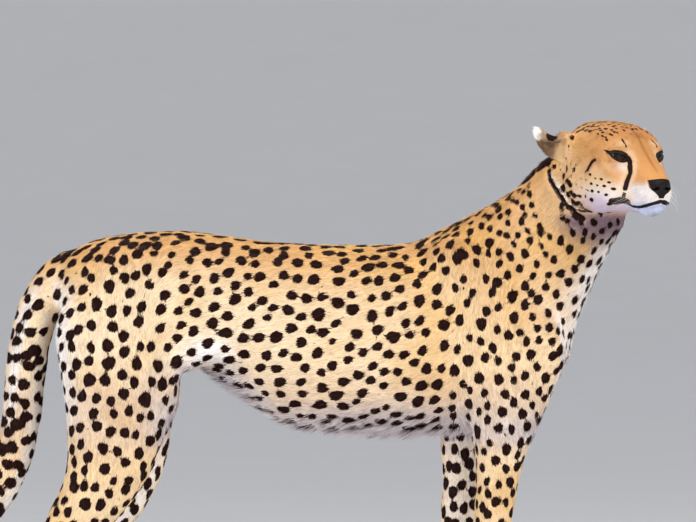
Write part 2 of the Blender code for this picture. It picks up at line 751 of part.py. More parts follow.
def centre_of(bm):
    corners = np.array([vert.co for vert in bm.verts])
    return Vector((corners.min(0) + corners.max(0)) / 2)


def material(name, look):
    colour, roughness = COLOURS[look]
    made = bpy.data.materials.new(name)
    made.use_nodes = True
    shader = made.node_tree.nodes["Principled BSDF"]
    shader.inputs["Base Color"].default_value = (*colour, 1)
    shader.inputs["Roughness"].default_value = roughness
    shader.inputs["Metallic"].default_value = 0
    return made


def part_pieces(whole, cutters, collection):
    """Cuts the whole body at its joints and names each piece after the point it holds."""
    for cutter in cutters:
        cut = whole.modifiers.new("part", "BOOLEAN")
        cut.object = cutter
        cut.operation = "DIFFERENCE"
        settle(whole)
    waiting = name_points()
    for piece in sorted(islands(whole), key=lambda bm: -len(bm.verts)):
        middle = centre_of(piece)
        name = min(waiting, key=lambda key: (waiting[key] - middle).length)
        if (waiting.pop(name) - middle).length > NEAREST_NAME:
            raise ValueError(f"no name fits the piece at {middle}")
        mesh = bpy.data.meshes.new(name)
        drop_slivers(piece)
        bmesh.ops.triangulate(piece, faces=piece.faces)
        piece.to_mesh(mesh)
        piece.free()
        made = bpy.data.objects.new(name, mesh)
        collection.objects.link(made)
        mesh.materials.append(material(name, "pale_coat" if "belly" in name else "coat"))
    if waiting:
        raise ValueError(f"no piece was found for {sorted(waiting)}")
    bpy.data.objects.remove(whole, do_unlink=True)


def eye_centre(side):
    return head_matrix() @ Vector((-EYE_BACK, EYE_SIDE * side, 0))


def build_eyes(collection):
    """Eyeballs, each in a socket a hair wider than itself."""
    head = bpy.data.objects["head"]
    for side, word in ((-1, "right"), (1, "left")):
        place = eye_centre(side)
        name = f"eye_{word}"
        eye = new_object(name, lambda bm: add_ball(bm, place, EYE_RADIUS), collection)
        eye.data.materials.append(material(name, "eye"))
        eye.data.shade_smooth()
        hole = new_object("socket", lambda bm: add_ball(bm, place, EYE_RADIUS + CUT))
        cut = head.modifiers.new(name, "BOOLEAN")
        cut.object = hole
        cut.operation = "DIFFERENCE"
        settle(head)
        bpy.data.objects.remove(hole, do_unlink=True)


def add_ball(bm, centre, radius):
    turn = Matrix.Rotation(HEAD_YAW, 4, "Z") @ Matrix.Rotation(math.pi / 2, 4, "Y")
    place = Matrix.Translation(centre) @ turn
    bmesh.ops.create_uvsphere(bm, u_segments=16, v_segments=10, radius=radius, matrix=place)


def centre_frame(collection):
    """Moves every piece so that the origin is under the middle of the animal's box."""
    corners = np.concatenate([corner_array(thing.data) for thing in collection.objects])
    low, high = corners.min(0), corners.max(0)
    move = Matrix.Translation((-(low[0] + high[0]) / 2, -(low[1] + high[1]) / 2, 0))
    for thing in collection.objects:
        thing.data.transform(move)


def main():
    clear_scene()
    scene = bpy.context.scene
    collection = bpy.data.collections.new("cheetah")
    scene.collection.children.link(collection)
    cutters = bpy.data.collections.new("cutters")
    scene.collection.children.link(cutters)
    cutters.hide_render = True
    slabs = []
    for build in (build_root_cut, build_cuts, build_ear_cuts):
        slabs.append(new_object(build.__name__, build, cutters))
    for one in slabs:
        one.hide_render = True
        one.display_type = "WIRE"
    part_pieces(build_whole(), slabs, collection)
    build_eyes(collection)
    centre_frame(collection)


main()
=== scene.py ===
"""The looks of the cheetah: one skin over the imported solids, its fur in tufts, and its face.

The frame gives every place: a bone is a line through a CAD node's box, and the head's own axes
(forward, left, up from the point between the pupils) come from the boxes of the eyes.
Lengths are metres. A field is a function of points that gives a number or a colour for each.
"""

import json
import math

import bmesh
import bpy
import numpy as np
from mathutils import Matrix, Vector, kdtree
from mathutils.bvhtree import BVHTree

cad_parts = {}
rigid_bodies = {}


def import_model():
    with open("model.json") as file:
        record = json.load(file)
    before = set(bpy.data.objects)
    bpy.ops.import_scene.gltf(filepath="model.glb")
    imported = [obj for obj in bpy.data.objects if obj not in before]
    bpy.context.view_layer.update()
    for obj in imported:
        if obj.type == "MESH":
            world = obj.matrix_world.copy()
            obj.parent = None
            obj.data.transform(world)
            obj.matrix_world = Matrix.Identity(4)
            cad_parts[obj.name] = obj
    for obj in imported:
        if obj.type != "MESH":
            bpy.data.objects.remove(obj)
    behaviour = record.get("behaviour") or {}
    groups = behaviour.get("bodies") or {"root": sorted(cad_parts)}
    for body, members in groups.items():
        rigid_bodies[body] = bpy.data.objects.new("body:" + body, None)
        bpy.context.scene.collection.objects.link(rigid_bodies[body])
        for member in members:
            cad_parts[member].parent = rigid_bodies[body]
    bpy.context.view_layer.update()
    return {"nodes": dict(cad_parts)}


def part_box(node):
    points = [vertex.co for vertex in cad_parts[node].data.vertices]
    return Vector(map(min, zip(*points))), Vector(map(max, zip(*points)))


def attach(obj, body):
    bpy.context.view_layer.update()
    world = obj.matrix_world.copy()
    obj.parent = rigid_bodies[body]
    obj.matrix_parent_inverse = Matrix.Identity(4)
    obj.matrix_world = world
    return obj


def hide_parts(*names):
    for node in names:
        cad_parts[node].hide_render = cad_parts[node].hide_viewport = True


for thing in list(bpy.data.objects):
    bpy.data.objects.remove(thing, do_unlink=True)
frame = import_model()
LEFT = np.array((0.0, 1.0, 0.0))
UP = np.array((0.0, 0.0, 1.0))
SIDES = {"right": -1, "left": 1}

# ---- The skin
VOXEL = 0.0024              # fineness of the joined skin
CLOSE = 0.0006              # how far the solids grow, so that the cuts between them close
EASE_ROUNDS = 40            # rounds of easing that take the facets off the solids
CLOSE_LEFT = 0.7            # part of that growth that the easing leaves
SKIN_TRIANGLES = 122000     # for all but the face
FACE_TRIANGLES = 66000

# Head, in its own axes: forward, top, bottom, half width, widest level, squareness.
HEAD = (
    (-0.158, 0.010, -0.060, 0.034, -0.030, 2.2),
    (-0.146, 0.040, -0.078, 0.050, -0.028, 2.3),
    (-0.120, 0.0540, -0.088, 0.0620, -0.024, 2.5),
    (-0.092, 0.0565, -0.091, 0.0675, -0.020, 2.6),
    (-0.064, 0.0545, -0.090, 0.0690, -0.018, 2.6),
    (-0.038, 0.0490, -0.088, 0.0665, -0.016, 2.6),
    (-0.018, 0.0405, -0.087, 0.0590, -0.016, 2.6),
    (-0.002, 0.0265, -0.087, 0.0450, -0.024, 2.5),
    (0.010, 0.0125, -0.0880, 0.0350, -0.038, 2.4),
    (0.022, -0.0010, -0.0890, 0.0305, -0.048, 2.5),
    (0.035, -0.0140, -0.0880, 0.0290, -0.054, 2.6),
    (0.0455, -0.0245, -0.0840, 0.0265, -0.057, 2.6),
    (0.0520, -0.0330, -0.0760, 0.0210, -0.057, 2.4),
    (0.0562, -0.0415, -0.0660, 0.0125, -0.055, 2.2),
)
# Round masses of the head: centre and half sizes, and on both sides where the centre isn't at 0.
HEAD_MASSES = {
    "nose": ((0.0480, 0, -0.0415), (0.0125, 0.0205, 0.0105)),
    "chin": ((0.0270, 0, -0.0825), (0.0215, 0.0190, 0.0125)),
    "forehead": ((-0.032, 0, 0.0150), (0.0360, 0.0380, 0.0270)),
    "brow": ((-0.015, 0.0285, 0.0125), (0.0220, 0.0200, 0.0115)),
    "lids": ((-0.0130, 0.0335, -0.0005), (0.0180, 0.0190, 0.0180)),
    "cheekbone": ((-0.040, 0.041, -0.024), (0.042, 0.0240, 0.0240)),
    "ruff": ((-0.100, 0.038, -0.045), (0.040, 0.0320, 0.0460)),
    "jowl": ((-0.055, 0.036, -0.062), (0.050, 0.0270, 0.0290)),
    "whisker_pad": ((0.0315, 0.0150, -0.0580), (0.0220, 0.0185, 0.0150)),
    "ear_root": ((-0.104, 0.047, 0.008), (0.026, 0.0220, 0.0300)),
}
HEAD_EASE = 14              # rounds of easing for the finer head
WHOLE_EASE = 5              # and for the joined skin
HEAD_BACK = -0.085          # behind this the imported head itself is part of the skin
EYE_RADIUS = 0.0165
EYE_BACK = 0.0135           # how far the eyeballs' centres lie behind the point between the pupils
EYE_TURN = math.radians(24)     # how far the lids' opening faces outwards
EYE_SLANT = math.radians(14)    # how far its outer corner is raised


# ---- Frame: the head's axes and the bones
def middle_of(node):
    low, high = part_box(node)
    return (np.array(low) + np.array(high)) / 2


def find_head():
    """The head's place and its axes (forward, left, up) as the columns of a turn."""
    right, left = middle_of("eye_right"), middle_of("eye_left")
    across = (left - right) / np.linalg.norm(left - right)
    forward = np.cross(across, UP)
    forward /= np.linalg.norm(forward)
    turn = np.stack([forward, across, np.cross(forward, across)], axis=1)
    return (left + right) / 2 + forward * EYE_BACK, turn, float(np.linalg.norm(left - right)) / 2


HEAD_AT, HEAD_TURN, EYE_SIDE = find_head()


def to_head(points):
    return (np.asarray(points) - HEAD_AT) @ HEAD_TURN


def from_head(points):
    return np.asarray(points) @ HEAD_TURN.T + HEAD_AT


def head_matrix():
    placed = Matrix(HEAD_TURN.tolist()).to_4x4()
    placed.translation = Vector(HEAD_AT)
    return placed


def unit(vectors):
    return vectors / np.maximum(np.linalg.norm(vectors, axis=-1, keepdims=True), 1e-9)


def step(values, low, high):
    """0 below low, 1 above high, smooth between."""
    passed = np.clip((values - low) / (high - low), 0, 1)
    return passed * passed * (3 - 2 * passed)


def bump(values, middle, width):
    return np.exp(-(((values - middle) / width) ** 2))


# ---- Meshes
def add_object(name, data):
    """An object in the scene with this mesh, light or camera."""
    made = bpy.data.objects.new(name, data)
    bpy.context.scene.collection.objects.link(made)
    return made


def new_object(name, build):
    """An object whose mesh a function builds."""
    bm = bmesh.new()
    build(bm)
    bmesh.ops.recalc_face_normals(bm, faces=bm.faces)
    mesh = bpy.data.meshes.new(name)
    bm.to_mesh(mesh)
    bm.free()
    return add_object(name, mesh)


def settle(thing):
    """Puts the object's modifiers and its place into its mesh."""
    bpy.context.view_layer.update()
    graph = bpy.context.evaluated_depsgraph_get()
    mesh = bpy.data.meshes.new_from_object(thing.evaluated_get(graph))
    mesh.transform(thing.matrix_world)
    thing.modifiers.clear()
    thing.data = mesh
    thing.matrix_world = Matrix.Identity(4)


def voxel_remesh(thing):
    join = thing.modifiers.new("join", "REMESH")
    join.mode = "VOXEL"
    join.voxel_size = VOXEL
    settle(thing)


def read(items, name, width, kind=np.float32):
    """A property of all the items of a mesh, one row for each."""
    found = np.empty(len(items) * width, kind)
    items.foreach_get(name, found)
    return found.reshape(-1, width)


def corners_of(mesh):
    return read(mesh.vertices, "co", 3).astype(float)


def normals_of(mesh):
    return read(mesh.vertices, "normal", 3).astype(float)


def edges_of(mesh):
    return read(mesh.edges, "vertices", 2, np.int32)


def triangles_of(mesh):
    mesh.calc_loop_triangles()
    return read(mesh.loop_triangles, "vertices", 3, np.int32)


def set_corners(mesh, points):
    mesh.vertices.foreach_set("co", points.astype(np.float32).ravel())
    mesh.update()


def spread(values, edges, rounds):
    """Values at the corners of a mesh, moved halfway to their neighbours' mean in each round."""
    count = len(values)
    degree = np.bincount(edges.ravel(), minlength=count).astype(float)
    values = values.reshape(count, -1).astype(float)
    ends = np.concatenate([edges[:, 0], edges[:, 1]])
    others = np.concatenate([edges[:, 1], edges[:, 0]])
    for _ in range(rounds):
        for k in range(values.shape[1]):
            mean = np.bincount(ends, values[others, k], minlength=count) / np.maximum(degree, 1)
            values[:, k] += 0.5 * (mean - values[:, k])
    return values.squeeze()


def ease(mesh, rounds):
    """Smooths a mesh and puts back what the smoothing took off its size."""
    edges = edges_of(mesh)
    before = corners_of(mesh)
    set_corners(mesh, spread(before, edges, rounds))
    normals = normals_of(mesh)
    lost = np.einsum("ij,ij->i", before - corners_of(mesh), normals)
    set_corners(mesh, corners_of(mesh) + normals * spread(lost, edges, rounds)[:, None])


def refine(rows, steps):
    """Rows of numbers joined by a smooth curve through every row."""
    rows = np.array(rows, float)
    gaps = np.linalg.norm(np.diff(rows[:, :3], axis=0), axis=1)
    at = np.concatenate([[0.0], np.cumsum(gaps)])
    slopes = np.gradient(rows, at, axis=0)
    found = []
    for i in range(len(rows) - 1):
        span = at[i + 1] - at[i]
        for t in np.arange(steps) / steps:
            passed = t * t * (3 - 2 * t)
            point = rows[i] * (1 - passed) + rows[i + 1] * passed
            point = point + slopes[i] * t * (1 - t) ** 2 * span
            found.append(point + slopes[i + 1] * t * t * (t - 1) * span)
    found.append(rows[-1])
    return np.array(found)


def add_ellipsoid(bm, centre, sizes):
    place = Matrix.Translation(Vector(centre)) @ Matrix.Diagonal((*sizes, 1))
    bmesh.ops.create_uvsphere(bm, u_segments=40, v_segments=24, radius=1, matrix=place)


def turns_of(count):
    """Angles evenly round a circle."""
    return np.linspace(0, 2 * math.pi, count, endpoint=False)


def join_rings(bm, rings):
    """Faces between neighbouring rings of corners."""
    for low, high in zip(rings, rings[1:]):
        for i in range(len(low)):
            j = (i + 1) % len(low)
            bm.faces.new((low[i], low[j], high[j], high[i]))


def add_loft(bm, rings):
    """A closed skin over rings of points."""
    made = [[bm.verts.new(point) for point in ring] for ring in rings]
    join_rings(bm, made)
    bm.faces.new(made[0][::-1])
    bm.faces.new(made[-1])


def add_head_loft(bm):
    """The skull and jaw as a skin over egg-shaped rings."""
    turns = turns_of(48)
    rings = []
    for forward, top, bottom, half_width, widest, squareness in refine(HEAD, 4):
        out, rise = np.sin(turns), np.cos(turns)
        out = np.sign(out) * abs(out) ** (2 / squareness) * half_width
        rise = np.sign(rise) * abs(rise) ** (2 / squareness)
        rise = rise * np.where(rise > 0, top - widest, widest - bottom) + widest
        rings.append([(forward, y, z) for y, z in zip(out, rise)])
    add_loft(bm, rings)


def build_head(bm):
    add_head_loft(bm)
    for centre, sizes in HEAD_MASSES.values():
        for side in (-1, 1) if centre[1] else (1,):
            add_ellipsoid(bm, (centre[0], centre[1] * side, centre[2]), sizes)


def add_node(bm, node):
    """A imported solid, grown a little so that it meets its neighbours."""
    start = len(bm.verts)
    bm.from_mesh(frame["nodes"][node].data)
    bm.verts.ensure_lookup_table()
    added = bm.verts[start:]
    bmesh.ops.remove_doubles(bm, verts=added, dist=1e-5)
    bm.normal_update()
    bm.verts.ensure_lookup_table()
    for vert in bm.verts[start:]:
        vert.co += vert.normal * CLOSE


def build_body(bm):
    for node in frame["nodes"]:
        if node != "head" and not node.startswith("eye"):
            add_node(bm, node)


def build_head_back(bm):
    """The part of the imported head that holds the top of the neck."""
    add_node(bm, "head")
    place = from_head((HEAD_BACK, 0, 0))
    geometry = bm.verts[:] + bm.edges[:] + bm.faces[:]
    cut_off = {"plane_co": place, "plane_no": HEAD_TURN[:, 0], "clear_outer": True}
    bmesh.ops.bisect_plane(bm, geom=geometry, **cut_off)
    bmesh.ops.holes_fill(bm, edges=[edge for edge in bm.edges if edge.is_boundary], sides=0)


def merge(name, things):
    """One object out of the meshes of several, which go."""
    def build(bm):
        for thing in things:
            bm.from_mesh(thing.data)
            bpy.data.objects.remove(thing, do_unlink=True)

    return new_object(name, build)


def smooth_form(name, build, rounds):
    """A joined and eased shape out of overlapping solids."""
    made = new_object(name, build)
    voxel_remesh(made)
    ease(made.data, rounds)
    return made


def make_form():
    """The animal out to the tips of its coat, as one smooth closed surface."""
    head = smooth_form("head_form", build_head, HEAD_EASE)
    head.data.transform(head_matrix())
    body = smooth_form("body_form", build_body, EASE_ROUNDS)
    back = new_object("back_form", build_head_back)
    whole = merge("skin", [body, back, head])
    voxel_remesh(whole)
    ease(whole.data, WHOLE_EASE)
    return whole


# ---- The coat's lie and length, from bones
def line(node, aside, start, end):
    """A bone between two points (x, z) given, as aside (y) is, as parts of a node's box."""
    low, high = (np.array(corner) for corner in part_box(node))
    return tuple(low + (high - low) * (x, aside, z) for x, z in (start, end))


def bone(ends, radius, depth, length, width, lift, down, oval, spots):
    """The coat around a bone: the hair's depth, length, width and lift, how far it hangs down off the
    bone's way, the way (x, z) of the longer axis of the spots, and the spots' half length, half width
    and spacing. The coat's sizes are millimetres, its lift degrees."""
    start, end = ends
    lie = unit(unit(end - start) - UP * down)
    return (*start, *end, radius, *lie, oval[0], 0, oval[1], depth, length, width, lift, *spots)


# Node, aside, start and end of a bone, its radius, and the coat around it.
TRUNK_BONES = (
    ("chest", 0.5, (1, 0.62), (0, 0.60), 0.10, 4.5, 10, 1.25, 7, 0.55, (0.1, 1), (10.0, 8.8, 26)),
    ("belly", 0.5, (1, 0.55), (0, 0.62), 0.10, 4.5, 10.5, 1.3, 7, 0.25, (0.9, 0.25), (10.6, 9.2, 28.5)),
    ("rump", 0.5, (1, 0.70), (0.1, 0.60), 0.09, 4.5, 10.5, 1.3, 7, 0.35, (0.3, 1), (10.8, 9.6, 27.5)),
)
SIDE_PARTS = {"right": 0.14, "left": 0.86}      # of the width, where shoulder and haunch run
TAIL_NODES = [f"tail_{k}" for k in (1, 2, 3, 4, 5)]


def leg_bones(word):
    y = SIDE_PARTS[word]
    fore, hind = f"foreleg_{word}_", f"hindleg_{word}_"
    paw = ("paw", 0.5, (0.25, 0.8), (0.85, 0.35), 0.028, 1.2, 3.3, 0.8, 7, 0.0, (1, 0), (3.4, 2.8, 14))
    rows = (
        ("", "chest", y, (0.35, 0.85), (0.60, 0), 0.060, 4.0, 9.5, 1.2, 7, 0.1, (0.05, 1), (9.8, 8.2, 25.5)),
        ("", "rump", y, (0.38, 0.85), (0.36, 0.10), 0.065, 4.0, 9.5, 1.2, 7, 0, (0.15, 1), (11.0, 9.8, 28)),
        (hind, "thigh", 0.5, (0.48, 0.95), (0.40, 0), 0.060, 3.5, 9, 1.2, 7, 0, (0.3, 1), (11.0, 9.6, 27.5)),
        (hind, "shank", 0.5, (0.72, 1), (0.22, 0.05), 0.040, 2.6, 8, 1.2, 8, 0, (0.5, 1), (10.0, 8.6, 26)),
        (hind, "metatarsus", 0.5, (0.40, 1), (0.55, 0), 0.026, 1.8, 6, 1.0, 8, 0, (0, 1), (6.5, 5.0, 21)),
        (fore, "forearm", 0.5, (0.55, 1), (0.42, 0), 0.036, 2.4, 8, 1.2, 8, 0, (0.1, 1), (9.8, 7.8, 25)),
        (fore, "wrist", 0.5, (0.5, 1), (0.5, 0), 0.028, 1.8, 6, 1.0, 8, 0, (0, 1), (5.5, 4.2, 19)),
        (fore, *paw),
        (hind, *paw),
    )
    return [(leg + node, *rest) for leg, node, *rest in rows]


def list_bones():
    neck = from_head((-0.125, 0, -0.035)), line("neck", 0.5, (0.25, 0.35), (0, 0))[0]
    rows = (*TRUNK_BONES, *leg_bones("right"), *leg_bones("left"))
    found = [bone(neck, 0.075, 5.0, 8.5, 1.15, 9, 0.25, (-0.45, 1), (8.4, 5.7, 18.2))]
    found += [bone(line(*row[:4]), *row[4:]) for row in rows]
    for side in (-1, 1):
        ear = from_head([(-0.106, 0.056 * side, 0.004), (-0.129, 0.100 * side, 0.041)])
        found.append(bone(ear, 0.020, 0.5, 5.0, 0.9, 9, 0.0, (0, 1), (2, 2, 20)))
    middles = [middle_of(node) for node in TAIL_NODES]
    low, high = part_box(TAIL_NODES[-1])
    tip = np.array((low[0] + 0.005, (low[1] + high[1]) / 2, high[2] - 0.01))
    root = np.array(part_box(TAIL_NODES[0])[1]) * (1, 0, 1) + middles[0] * (0, 1, 0)
    points = [root, *middles, tip]
    for k, ends in enumerate(zip(points, points[1:])):
        way = unit(np.cross(ends[1] - ends[0], LEFT))[[0, 2]]
        found.append(bone(ends, 0.036, 4.0, 8 + k, 1.4, 8, 0.0, way, (13.4, 10.8, 29.5)))
    return np.array(found)


BONES = list_bones()
SKULL = from_head([(0.0, 0, -0.035), (-0.095, 0, -0.020)])
SKULL_RADIUS = 0.060
BONE_FADE = 2.2             # how fast a bone's share of the coat falls off past its radius
NOSE_ROOT = np.array((0.085, 0, -0.050))    # the hair of the head lies away from it
FIELDS = ("depth", "length", "width", "lift", "spot_long", "spot_wide", "gap")
HEAD_COAT = (1.5, 4.0, 0.78, 8, 3.1, 2.4, 10.5)


def on_line(points, start, end):
    """The nearest place to each point on a line, as a part of the line, and how far it is."""
    along = end - start
    part = np.clip((points - start) @ along / (along @ along), 0, 1)
    return part, np.linalg.norm(points - start - part[:, None] * along, axis=1)


def to_line(points, start, end):
    return on_line(points, start, end)[1]


def to_path(points, path):
    """How far points are from a path of straight lines."""
    path = np.array(path, float)
    return np.min([to_line(points, a, b) for a, b in zip(path, path[1:])], axis=0)


def lay(points, normals):
    """The coat at points of the skin: the ways of its hair and its spots, and its sizes in metres."""
    near = [to_line(points, row[:3], row[3:6]) / row[6] for row in BONES]
    near.append(to_line(points, *SKULL) / SKULL_RADIUS)
    weights = np.array([np.exp(-BONE_FADE * part**2) for part in near]).T + 1e-12
    weights /= weights.sum(axis=1, keepdims=True)
    local = to_head(points)
    on_skull = step(local[:, 0], -0.150, -0.105) * weights[:, -1]
    body = weights[:, :-1] / weights[:, :-1].sum(axis=1, keepdims=True)

    def mixed(columns, head):
        return (body @ BONES[:, columns]) * (1 - on_skull[:, None]) + head * on_skull[:, None]

    radial = unit(local - NOSE_ROOT)
    radial[:, 2] -= 0.25 * step(-local[:, 2], 0.02, 0.07)
    lie = mixed(slice(7, 10), unit(radial) @ HEAD_TURN.T)
    oval = mixed(slice(10, 13), lie)
    sizes = mixed(slice(13, None), np.array(HEAD_COAT))
    found = {"lie": flatten(lie, normals), "oval": flatten(oval, normals), "skull": on_skull}
    for k, name in enumerate(FIELDS):
        found[name] = sizes[:, k] * (1 if name == "lift" else 0.001)
    return found


def flatten(ways, normals):
    """Ways laid down in the surface."""
    return unit(ways - normals * np.einsum("ij,ij->i", ways, normals)[:, None])


# ---- Places on the body
CHEST_LOW, CHEST_HIGH = (np.array(corner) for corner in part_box("chest"))
BELLY_LOW = np.array(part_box("belly")[0])
RUMP_LOW = np.array(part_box("rump")[0])
MIDLINE = middle_of("belly")[1]
NO_HAIR_UNDER = 0.012       # soles lie below this height


def places(points, normals):
    """Shares, from 0 to 1, of the places where the coat changes its colour or its length."""
    x, y, z = points.T
    local = to_head(points)
    out = np.abs(y - MIDLINE)
    off_head = 1 - step(local[:, 0], -0.135, -0.10) * step(z, 0.76, 0.79)
    trunk = step(x, RUMP_LOW[0] + 0.12, RUMP_LOW[0] + 0.20)
    trunk = trunk * (1 - step(x, CHEST_HIGH[0] - 0.03, CHEST_HIGH[0])) * step(z, 0.43, 0.46)
    belly_line = BELLY_LOW[2] + 0.055 + 0.075 * step(-x, -0.08, 0.02)
    under = trunk * (1 - step(z, belly_line - 0.050, belly_line + 0.018))
    under = under * step(-normals[:, 2], -0.25, 0.55)
    front = step(normals[:, 0], 0.62, 0.96) * step(x, CHEST_HIGH[0] - 0.07, CHEST_HIGH[0] - 0.01)
    brisket = front * step(z, 0.44, 0.52) * (1 - step(z, 0.70, 0.78))
    throat = off_head * step(z, 0.60, 0.70) * step(normals[:, 0], 0.30, 0.75)
    inner = step(-(y - MIDLINE) * normals[:, 1] * 100, 1.0, 4.5) * (1 - step(z, 0.48, 0.56))
    nape = off_head * step(normals[:, 2], 0.35, 0.80)
    nape = nape * step(x, CHEST_LOW[0] - 0.12, CHEST_LOW[0] + 0.05)
    seat = step(-normals[:, 0], 0.15, 0.65) * step(out, 0.006, 0.030) * step(z, 0.44, 0.50)
    seat = seat * (1 - step(z, 0.66, 0.71)) * step(-x, -RUMP_LOW[0] - 0.06, -RUMP_LOW[0] - 0.01)
    found = {"under": under, "brisket": brisket, "throat": throat}
    return {**found, "inner": inner, "nape": nape, "seat": seat}


LONGER = {"under": 0.9, "brisket": 0.45, "throat": 0.25, "nape": 0.35, "seat": 0.35}
# How much of that goes into the hair's width and the coat's depth, and into its lift in degrees.
LONGER_WIDE, LONGER_DEEP, LONGER_LIFT = 0.25, 0.55, 7


def coat_at(points, normals):
    """The coat at points of the skin and the places they are in. Hair is longer and looser in some."""
    place = places(points, normals)
    coat = lay(points, normals)
    more = sum(share * place[name] for name, share in LONGER.items())
    coat["length"] = coat["length"] * (1 + more)
    coat["width"] = coat["width"] * (1 + LONGER_WIDE * more)
    coat["depth"] = coat["depth"] * (1 + LONGER_DEEP * more)
    coat["lift"] = coat["lift"] + LONGER_LIFT * np.clip(more, 0, 1.2)
    return coat, place


# ---- Markings
rng = np.random.default_rng(7)


HASH = np.array((73856093, 19349663, 83492791))     # mixes a cell's place into a random number


def lattice(points, size, seed):
    """Smooth noise from -1 to 1 that changes over a length."""
    at = points / size + seed * 17.31
    cell = np.floor(at).astype(np.int64)
    part = at - cell
    part = part * part * (3 - 2 * part)
    total = np.zeros(len(points))
    for corner in np.ndindex(2, 2, 2):
        key = (cell + corner) @ HASH + seed * 7919
        key = (key ^ (key >> 13)) * 1274126177
        value = ((key ^ (key >> 16)) & 0xFFFF) / 32767.5 - 1
        share = np.prod(np.where(np.array(corner) == 1, part, 1 - part), axis=1)
        total += value * share
    return total


def areas_of(points, corners):
    """Areas of triangles."""
    a, b, c = (points[corners[:, k]] for k in range(3))
    return np.linalg.norm(np.cross(b - a, c - a), axis=1) / 2


def pick_places(share, count):
    """Random places on triangles: which of them, and the weights of their three corners."""
    picked = rng.choice(len(share), count, p=share / share.sum())
    r, s = np.sqrt(rng.random(count)), rng.random(count)
    return picked, np.stack([1 - r, r * (1 - s), r * s], axis=1)[:, :, None]


def tree_of(points):
    """A search tree for the nearest of these points."""
    found = kdtree.KDTree(len(points))
    for k, point in enumerate(points.tolist()):
        found.insert(point, k)
    found.balance()
    return found


CROWD = 90000               # random points that the spots are picked from
ASKED = 26                  # points of the crowd that speak for a place, for each spot
GAP_SHARE = 0.975           # the spots' spacing as a part of the gap that the bones give
NEAREST = 0.765             # the least distance of two spots at first, as a part of their spacing
HEXAGON = 0.866             # area of a place for a spot, as a part of its spacing squared
APART = 0.012               # how far the two faces of a thin limb are taken to be further apart
TALLER = 0.88               # the spots are spread wider up and down than along the animal
MEETINGS = 30               # rounds that even the spots out
MOST_SPOTS = 6000


def scatter(points, normals, gaps, part):
    """Picks points for spots, evenly spread and as far apart as their gaps ask."""
    gaps = gaps * GAP_SHARE
    need = part / (HEXAGON * gaps**2)
    count = min(len(points) // 2, int(need.sum() * ASKED))
    members = rng.choice(len(points), count, replace=False, p=need / need.sum())
    at = (points[members] + normals[members] * APART) * (1, 1, TALLER) / TALLER**0.5
    asked = at.tolist()
    near = NEAREST * gaps[members]
    centres, taken = np.empty((MOST_SPOTS, 3)), 0
    for k in rng.permutation(len(at)):
        if ((at[k] - centres[:taken]) ** 2).sum(axis=1).min(initial=9) > near[k] ** 2:
            centres[taken] = at[k]
            taken += 1
    centres = centres[:taken]
    for _ in range(MEETINGS):
        tree = tree_of(centres)
        nearest = np.array([tree.find(point)[1] for point in asked])
        total = np.stack([np.bincount(nearest, at[:, k], taken) for k in range(3)], axis=1)
        size = np.bincount(nearest, minlength=taken)
        centres = np.where(size[:, None] > 0, total / np.maximum(size, 1)[:, None], centres)
    tree = tree_of(at)
    return members[np.unique([tree.find(centre)[1] for centre in centres.tolist()])]


SPOTS_APART = 0.0050        # the least coat left between two spots
RUN_TOGETHER = 0.02         # the part of the close pairs that may touch
MEET = 0.034                # spots with centres further apart never touch
SAME_SIDE = 0.3             # how alike two spots' normals are on one side of the animal
LEAST_SIZE = 0.72           # how far a spot is shrunk at most
FAR = 0.010                 # distances to markings are told up to here
# A spot's wavy edge: waves round it, and their height as a part of its radius.
WAVES = ((2, 0.07), (3, 0.07), (5, 0.03))


